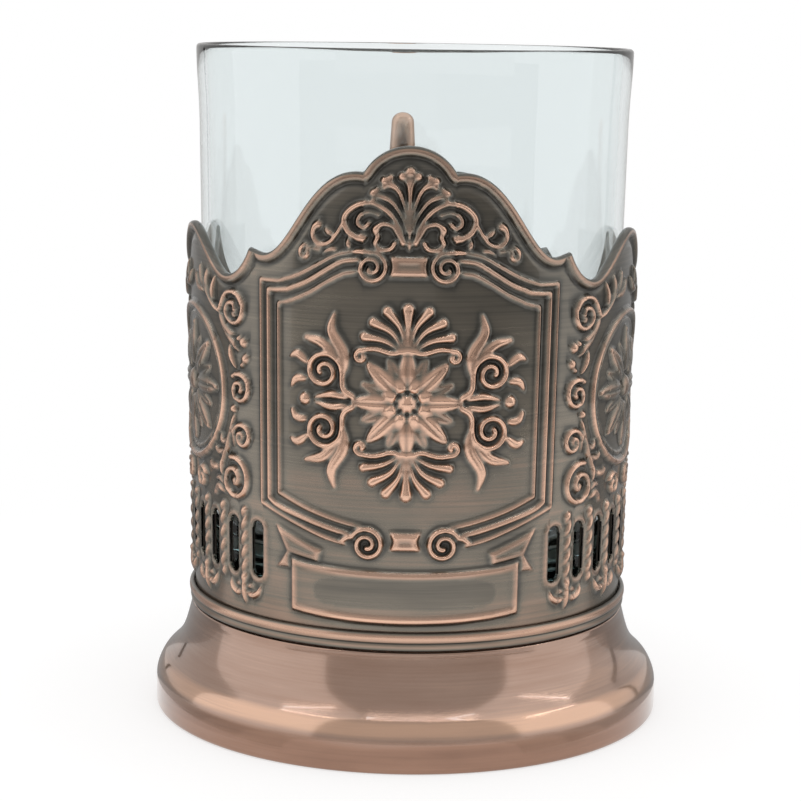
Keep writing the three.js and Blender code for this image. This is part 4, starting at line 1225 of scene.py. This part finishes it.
round_bead = bead_proud * np.sqrt(np.clip(1 - across_bead**2, 0, 1))
on_bead = to_edge < bead_end
flat_relief[on_bead] = np.maximum(flat_relief, round_bead)[on_bead]
print("bead takes", on_bead.sum(), "points of the sheet")

# %% [markdown]
# ## Rubbed bright, left dark, and painted light
# Pressed metal has no knife-sharp steps, so the relief is smoothed a little. What stands above its
# surroundings was rubbed bright and what lies below stayed dark: that difference is stored on the
# mesh for the finish. Rubbing by hand is never even: the ornament of the shield and the bead were
# rubbed more, and the bare banner less. Painted light is added too: the lower sleeve is lighter and
# the top darker, the low strip is lighter in its middle and darker at its ends as a painted
# reflection, and painted shade darkens the sides and the upper right.


# %% Smooth the relief, find the rubbed places and add painted light
def smoothed(field, passes):
    for _ in range(passes):
        field = (np.roll(field, 1, 0) + 2 * field + np.roll(field, -1, 0)) / 4
        padded = np.pad(field, ((0, 0), (1, 1)), mode="edge")
        field = (padded[:, :-2] + 2 * field + padded[:, 2:]) / 4
    return field


relief = smoothed(flat_relief.reshape(columns, rows), 1)
fine_detail = relief - smoothed(relief, 8)
broad_detail = relief - smoothed(relief, 60)
# Painted light by height: the low part lighter as a painted reflection of the white floor, and darker
# higher up.
painted_light_by_height = np.interp(sheet_z, [20, 26, 40, 56, 74], [0.61, 0.55, 0.54, 0.47, 0.44])
# Painted shade: darker towards the sides, with weaker relief contrast there, and darker at the upper
# right.
to_side = np.interp(np.abs(sheet_u), [32, 50], [0, 1])
to_painted_shade = np.interp(sheet_u, [-4, 12], [0, 1]) * np.interp(sheet_z, [48, 68], [0, 1])
side_painted_shade, painted_shade_loss = 0.07, 0.06
fine_share, broad_share = 1.9 - 0.7 * to_side, 0.35
wear_and_light = painted_light_by_height - side_painted_shade * to_side - painted_shade_loss * to_painted_shade
wear_and_light = wear_and_light + fine_share * fine_detail + broad_share * broad_detail
print("rubbed by its height from", wear_and_light.min().round(2), "to", wear_and_light.max().round(2))

# %% Places rubbed by hand, and painted light on the low strip
crown_level, crown_gain, crown_shift, crown_half = 0.42, 0.33, 0.15, 0.65
bar_gain, ornament_gain, strip_painted_light, banner_loss = 0.14, 0.36, 0.07, 0.1
crown = crown_level + crown_gain * np.exp(-(((across_bead + crown_shift) / crown_half) ** 2))
wear_and_light = np.where(on_bead, crown, wear_and_light.ravel()).reshape(columns, rows)
bar_middles, half_bar = (33.05, 73.0), (2.5, 1.4)
for middle in bar_middles:
    wear_and_light[(np.abs(sheet_u) < half_bar[0]) & (np.abs(sheet_z - middle) < half_bar[1])] += bar_gain
half_cartouche = (18.6, 14.4)
on_shield = (np.abs(sheet_u) < half_cartouche[0]) & (np.abs(sheet_z - heart[1]) < half_cartouche[1])
wear_and_light += ornament_gain * on_shield * np.clip((relief - 0.25) / 0.5, 0, 1)
# Painted reflection: the low strip lighter in its middle and darker at its ends.
low_strip = np.interp(sheet_z, [20, 23], [1, 0])
wear_and_light += strip_painted_light * np.interp(np.abs(sheet_u), [10, 24], [1, -0.6]) * low_strip
banner_field = ((sheet_u / 13.5) ** 4 + ((sheet_z - 25.2) / 2.3) ** 4) < 1
wear_and_light = np.clip(smoothed(np.where(banner_field, wear_and_light - banner_loss, wear_and_light), 1), 0, 1)
print("rubbed in the end from", wear_and_light.min().round(2), "to", wear_and_light.max().round(2))

# %% [markdown]
# ## From sheet to sleeve
# Now the sheet is rolled up, its edge is rounded over, and a plain inner wall closes it to a body
# with a real thickness. The faces over the slots are left out, and walls of their own close the
# cut. Inside, the sleeve has a paler, dull plate, and the cut sides of the slots carry painted
# shade over their dark patina.

# %% Roll up the sleeve
turn = column_u[:, None] / roll_radius


def rolled_up(radius, z):
    return np.stack([radius * np.sin(turn), -radius * np.cos(turn), np.broadcast_to(z, radius.shape)], -1)


outer = rolled_up(wall_radius(sheet_z) + relief, sheet_z)
over = np.radians(np.arange(1, 9) * 22.5)[None, :]
over_rows = over.shape[1]
rim_middle = wall_radius(edge_z)[:, None] - sleeve_wall / 2
rim_lift = np.linspace(1, 0, over_rows)[None, :] * relief[:, -1:]
rim = rolled_up(rim_middle + (sleeve_wall / 2) * np.cos(over) + rim_lift,
                edge_z[:, None] - rim_round * (1 - np.sin(over)))
slot_wall = 0.5
inner_z = np.stack([high_line, low_line, np.full(columns, sleeve_foot)], -1)
inner = rolled_up(wall_radius(inner_z) - np.array([slot_wall, slot_wall, sleeve_wall]), inner_z)
sleeve_points = np.concatenate([outer, rim, inner], axis=1)
per_column = sleeve_points.shape[1]
print("each column has", per_column, "points, outside and inside together")

# %% Open the slots
tiny = 1e-6
inner_high = rows + over_rows
slot_first, slot_last = rows_low, rows_low + rows_slot
next_from_slot = np.roll(from_slot, -1)
in_slot = (from_slot < slot_round - tiny) & (next_from_slot < slot_round + tiny)
in_slot |= (from_slot < slot_round + tiny) & (next_from_slot < slot_round - tiny)
keep = np.ones((columns, per_column), bool)
keep[in_slot, slot_first:slot_last] = False
keep[in_slot, inner_high] = False
wall_faces = grid_faces(columns, per_column)[keep].tolist()


def point_of(column, row):
    return (column % columns) * per_column + row


for c in np.nonzero(in_slot)[0]:
    wall_faces.append([point_of(c, slot_first), point_of(c + 1, slot_first),
                       point_of(c + 1, inner_high + 1), point_of(c, inner_high + 1)])
    wall_faces.append([point_of(c, slot_last), point_of(c, inner_high),
                       point_of(c + 1, inner_high), point_of(c + 1, slot_last)])
    if not in_slot[c - 1]:
        side = [point_of(c, r) for r in range(slot_first, slot_last + 1)]
        wall_faces.append([*side, point_of(c, inner_high), point_of(c, inner_high + 1)])
    if not in_slot[(c + 1) % columns]:
        side = [point_of(c + 1, r) for r in range(slot_last, slot_first - 1, -1)]
        wall_faces.append([*side, point_of(c + 1, inner_high + 1), point_of(c + 1, inner_high)])
print("slots are", in_slot.sum(), "columns wide in all")

# %% Sleeve and its three finishes
rim_wear, inner_wear = 0.3, 0.5
sleeve = make_piece("stamped_sleeve", sleeve_points.reshape(-1, 3), wall_faces, "holder", "sleeve",
                    stamped_copper)
tone = [wear_and_light, np.full((columns, over_rows), rim_wear), np.full((columns, inner_z.shape[1]), inner_wear)]
store_wear_and_light(sleeve, np.concatenate(tone, 1))
sleeve.data.materials.append(dull_copper)
sleeve.data.materials.append(painted_shade_copper)
inside_faces = np.zeros((columns, per_column), bool)
inside_faces[:, inner_high - 1 : per_column - 1] = True
inside_faces = inside_faces[keep]
# Faces with more than four corners are the cut sides of the slots, with painted shade.
finish_of = np.array([2 if len(face) > 4 else 0 for face in wall_faces], np.int32)
finish_of[: len(inside_faces)] = inside_faces
sleeve.data.polygons.foreach_set("material_index", finish_of)
print("finishes used on", np.bincount(finish_of), "faces: outside, inside, cut sides of the slots")

# %% [markdown]
# ## A flat map of the sleeve
# When the finish is later baked into a picture, the sleeve needs a flat map. Its drawing already
# is one: u goes across and z goes up. The rim, the inner wall, the lower edge and the walls of the
# slots get narrow strips of their own above it, so that no two faces share a place.

# %% Sleeve map
outside_top = 0.84
rim_strip, rim_strip_height = 0.86, 0.05
inner_strip, inner_row_height = 0.92, 0.015
lower_strip, cut_strip = (0.975, 0.985), (0.99, 0.998)
corner = np.zeros(len(sleeve.data.loops), np.int32)
sleeve.data.loops.foreach_get("vertex_index", corner)
column, row = corner // per_column, corner % per_column
map_u, map_v = column_u[column], np.zeros(len(corner))
quads = 4 * len(inside_faces)
quad_column, quad_row = column[:quads].reshape(-1, 4), row[:quads].reshape(-1, 4)
joins_up = np.ptp(quad_column, axis=1) > columns / 2
past_seam = joins_up[:, None] & (quad_column == 0)
map_u[:quads] = np.where(past_seam, seam, map_u[:quads].reshape(-1, 4)).ravel()
least, most = quad_row.min(1)[:, None], quad_row.max(1)[:, None]
quad_height = outer[..., 2][quad_column, np.minimum(quad_row, rows - 1)] - sleeve_foot
outer_v = outside_top * quad_height / (sleeve_crest - sleeve_foot)
rim_v = rim_strip + rim_strip_height * (quad_row - rows + 1) / over_rows
inner_v = inner_strip + inner_row_height * (quad_row - inner_high + 1)
lower_v = np.where(quad_row == 0, lower_strip[1], lower_strip[0])
quad_v = np.where(most < rows, outer_v, np.where(most < inner_high, rim_v, inner_v))
map_v[:quads] = np.where((least == 0) & (most == per_column - 1), lower_v, quad_v).ravel()
map_v[quads:] = np.where(row[quads:] < rows, *cut_strip)
flat_map = sleeve.data.uv_layers.new(name="OFBake")
across_map = (map_u + seam) / (2 * seam)
flat_map.data.foreach_set("uv", np.stack([across_map, map_v], -1).astype(np.float32).ravel())
print("map runs to", across_map.max().round(3), "across and", map_v.max().round(3), "up")

# %% [markdown]
# ## Handle
# The handle is a casting: a strap with a round back and a raised rib, bent like an ear, two oval
# pads that lie on the sleeve, and a finger-shaped thumb rest on top. It is hidden behind the cup
# in the photograph apart from the thumb rest, so its shape follows what fingers need. The strap
# is a section carried along a line; the section grows and shrinks along the way.

# %% Carry a section along a line
handle_turn = math.radians(3)
out_way = np.array([-math.sin(handle_turn), math.cos(handle_turn), 0])
side_way = np.array([math.cos(handle_turn), math.sin(handle_turn), 0])
up_way = np.array([0, 0, 1.0])


def in_space(out, aside, z):
    """Points from their distance out from the axis, aside and up, as seen from the handle."""
    return out[..., None] * out_way + aside[..., None] * side_way + z[..., None] * up_way


def carried(name, line, half_width, half_thickness, section, tone):
    """A section carried along a line of (distance from the axis, height) points."""
    way = np.gradient(line, axis=0)
    way /= np.linalg.norm(way, axis=1)[:, None]
    normal = np.stack([-way[:, 1], way[:, 0]], -1)
    across, proud = section
    x = half_width[:, None] * across
    place = line[:, None] + (half_thickness[:, None] * proud)[..., None] * normal[:, None]
    points = in_space(place[..., 0], x, place[..., 1])
    steps, around_section = x.shape
    faces = grid_faces(around_section, steps, False).reshape(-1, 4).tolist()
    start_cap = [i * steps for i in range(around_section)]
    end_cap = [i * steps + steps - 1 for i in range(around_section)][::-1]
    flat_points = np.swapaxes(points, 0, 1).reshape(-1, 3)
    piece = make_piece(name, flat_points, [*faces, start_cap, end_cap], "holder", "handle",
                       cast_copper)
    store_wear_and_light(piece, np.swapaxes(np.broadcast_to(tone, x.shape), 0, 1))
    face_outwards(piece)


print("handle stands", round(math.degrees(handle_turn), 1), "degrees off the middle")

# %% Strap
pad_gap, pad_thickness, strap_reach = 0.3, 1.9, 29.35
strap_width, strap_thickness = 7.0, 4.6
pad_upper, pad_lower = sleeve_foot + 51, sleeve_foot + 13
strap_drop = pad_upper - pad_lower
strap_root = pad_gap + pad_thickness / 2
section_steps = 56


def strap_point(share, z):
    return wall_radius(z) + strap_root + share * (strap_reach - strap_root), z


upper_bends = [(0, 0), (0.1, 0.01), (0.34, 0.15), (0.64, 0.19), (0.91, 0.03)]
lower_bends = [(0.88, 0.4), (0.55, 0.15), (0.26, 0.03), (0.1, 0), (0, 0)]
strap_line = flowing([
    *(strap_point(reach, pad_upper + rise * strap_drop) for reach, rise in upper_bends),
    strap_point(1, pad_upper - 0.26 * strap_drop),
    *(strap_point(reach, pad_lower + rise * strap_drop) for reach, rise in lower_bends),
], 16)
spin = np.linspace(0, 2 * np.pi, section_steps, endpoint=False)
plain_section = (np.cos(spin), np.sin(spin))
across, proud = plain_section
rib_height, rib_spread = 0.16, 0.2
channel_depth, channel_at, channel_spread = 0.12, 0.5, 0.13
rib = rib_height * np.exp(-((across / rib_spread) ** 2))
rib -= channel_depth * np.exp(-(((np.abs(across) - channel_at) / channel_spread) ** 2))
ribbed_section = (across, 0.86 * proud + np.where(proud > 0, rib, 0))
length = np.concatenate([[0], np.cumsum(np.linalg.norm(np.diff(strap_line, axis=0), axis=1))])
share = length / length[-1]
ring_places, ring_spread = (0.075, 0.095, 0.905, 0.925), 0.006
rings = sum(np.exp(-(((share - at) / ring_spread) ** 2)) for at in ring_places)
slim = 0.94 - 0.10 * np.exp(-(((share - 0.5) / 0.2) ** 2)) + 0.06 * rings
strap_wear = 0.5 + np.where(proud > 0, 1.6 * rib, 0)[None, :] + 0.15 * rings[:, None]
carried("handle_strap", strap_line, strap_width / 2 * slim, strap_thickness / 2 * slim, ribbed_section,
        strap_wear)

# %% Thumb rest
thumb_height, thumb_lean, thumb_round, thumb_at = 13.6, 3.6, 1.8, 0.22
stem_steps, cap_steps = 30, 13
root = np.array([np.interp(thumb_at, share, part) for part in strap_line.T])
tip = root + np.array([-thumb_lean, strap_thickness / 2 + thumb_height])
t = np.linspace(0, 1, stem_steps)[:, None]
bend = np.array([tip[0], (root[1] + tip[1]) / 2])
end = tip - np.array([0, thumb_round])
stem = (1 - t) ** 2 * root + 2 * t * (1 - t) * bend + t**2 * end
cap = np.linspace(0, 1, cap_steps + 1)[1:] * np.pi / 2
thumb_line = np.vstack([stem, end + np.outer(np.sin(cap), (0, thumb_round))])
shrink = np.concatenate([np.ones(stem_steps), np.maximum(np.cos(cap), 0.02)])
step = np.arange(len(shrink))
thumb_half_width = np.interp(step, [0, 12, 29], [2.8, 2.5, 2.05]) * shrink
thumb_half_depth = np.interp(step, [0, 14, 29], [1.9, 1.5, 1.5]) * shrink
thumb_wear = np.interp(step, [0, 14, 29], [0.5, 0.75, 0.95])[:, None]
carried("thumb_rest", thumb_line, thumb_half_width, thumb_half_depth, plain_section, thumb_wear)

# %% [markdown]
# ## Pads and rivets
# Each end of the strap spreads into an oval pad that follows the round of the sleeve, with a raised
# rim and a dark line inside it. Two rivets with low domes hold each pad. A pad is a short outline
# carried round an oval and bent to the wall; a rivet is turned about an axis of its own.

# %% Pads
pad_half_width, pad_half_height, pad_steps = 8.8, 6.0, 72
pad_profile = np.array([
    (0.02, 2.2), (0.55, 2.2), (0.7, 2.15), (0.76, 1.9), (0.82, 1.95), (0.87, 2.15),
    (0.92, 2.2), (0.97, 2.0), (1.0, 1.6), (1.0, 0.6), (0.98, 0.3), (0.02, 0.3),
])
pad_wear = np.array([0.5, 0.5, 0.45, 0.25, 0.3, 0.7, 0.85, 0.7, 0.5, 0.3, 0.3, 0.3])
turns = np.linspace(0, 2 * np.pi, pad_steps, endpoint=False)
for name, middle in (("handle_pad_upper", pad_upper), ("handle_pad_lower", pad_lower)):
    x = np.outer(np.cos(turns), pad_half_width * pad_profile[:, 0])
    z = middle + np.outer(np.sin(turns), pad_half_height * pad_profile[:, 0])
    wall_r = wall_radius(z)
    swing = np.arcsin(x / wall_r)
    r = wall_r + pad_profile[None, :, 1]
    points = in_space(r * np.cos(swing), r * np.sin(swing), z)
    faces = grid_faces(pad_steps, len(pad_profile)).reshape(-1, 4).tolist()
    pad = make_piece(name, points.reshape(-1, 3), faces, "holder", "handle", cast_copper)
    store_wear_and_light(pad, np.tile(pad_wear, (pad_steps, 1)))

# %% Rivets
rivet_out, rivet_shank, rivet_head, rivet_steps = 5.6, 1.1, 1.8, 32
rivet_end, head_edge, dome_height, middle_hole = 0.75, 0.15, 1.0, 0.02
turns = np.linspace(0, 2 * np.pi, rivet_steps, endpoint=False)
for height_name, middle in (("upper", pad_upper), ("lower", pad_lower)):
    wall_r = wall_radius(middle)
    face = wall_r + pad_gap + pad_thickness + pad_gap
    shank = [(middle_hole, wall_r - rivet_end), (rivet_shank, wall_r - rivet_end), (rivet_shank, face),
             (rivet_head - head_edge, face)]
    dome = bezier((rivet_head, face + head_edge), (rivet_head, face + 0.75), (1.1, face + dome_height),
                  (middle_hole, face + dome_height), 10)
    ring, along = np.vstack([shank, dome]).T
    ring_x, ring_z = np.outer(np.cos(turns), ring), middle + np.outer(np.sin(turns), ring)
    tone = np.interp(along, [face, face + dome_height], [0.45, 0.8])
    faces = grid_faces(rivet_steps, len(ring)).reshape(-1, 4).tolist()
    for side_name, side in (("left", -1), ("right", 1)):
        swing = side * math.asin(rivet_out / wall_r)
        axis = math.cos(swing) * out_way + math.sin(swing) * side_way
        aside = math.cos(swing) * side_way - math.sin(swing) * out_way
        points = along[:, None] * axis + ring_x[..., None] * aside + ring_z[..., None] * up_way
        node = "handle_rivet_" + height_name + "_" + side_name
        rivet = make_piece(node + "_dome", points.reshape(-1, 3), faces, "holder", node,
                           cast_copper)
        store_wear_and_light(rivet, np.tile(tone, (rivet_steps, 1)))
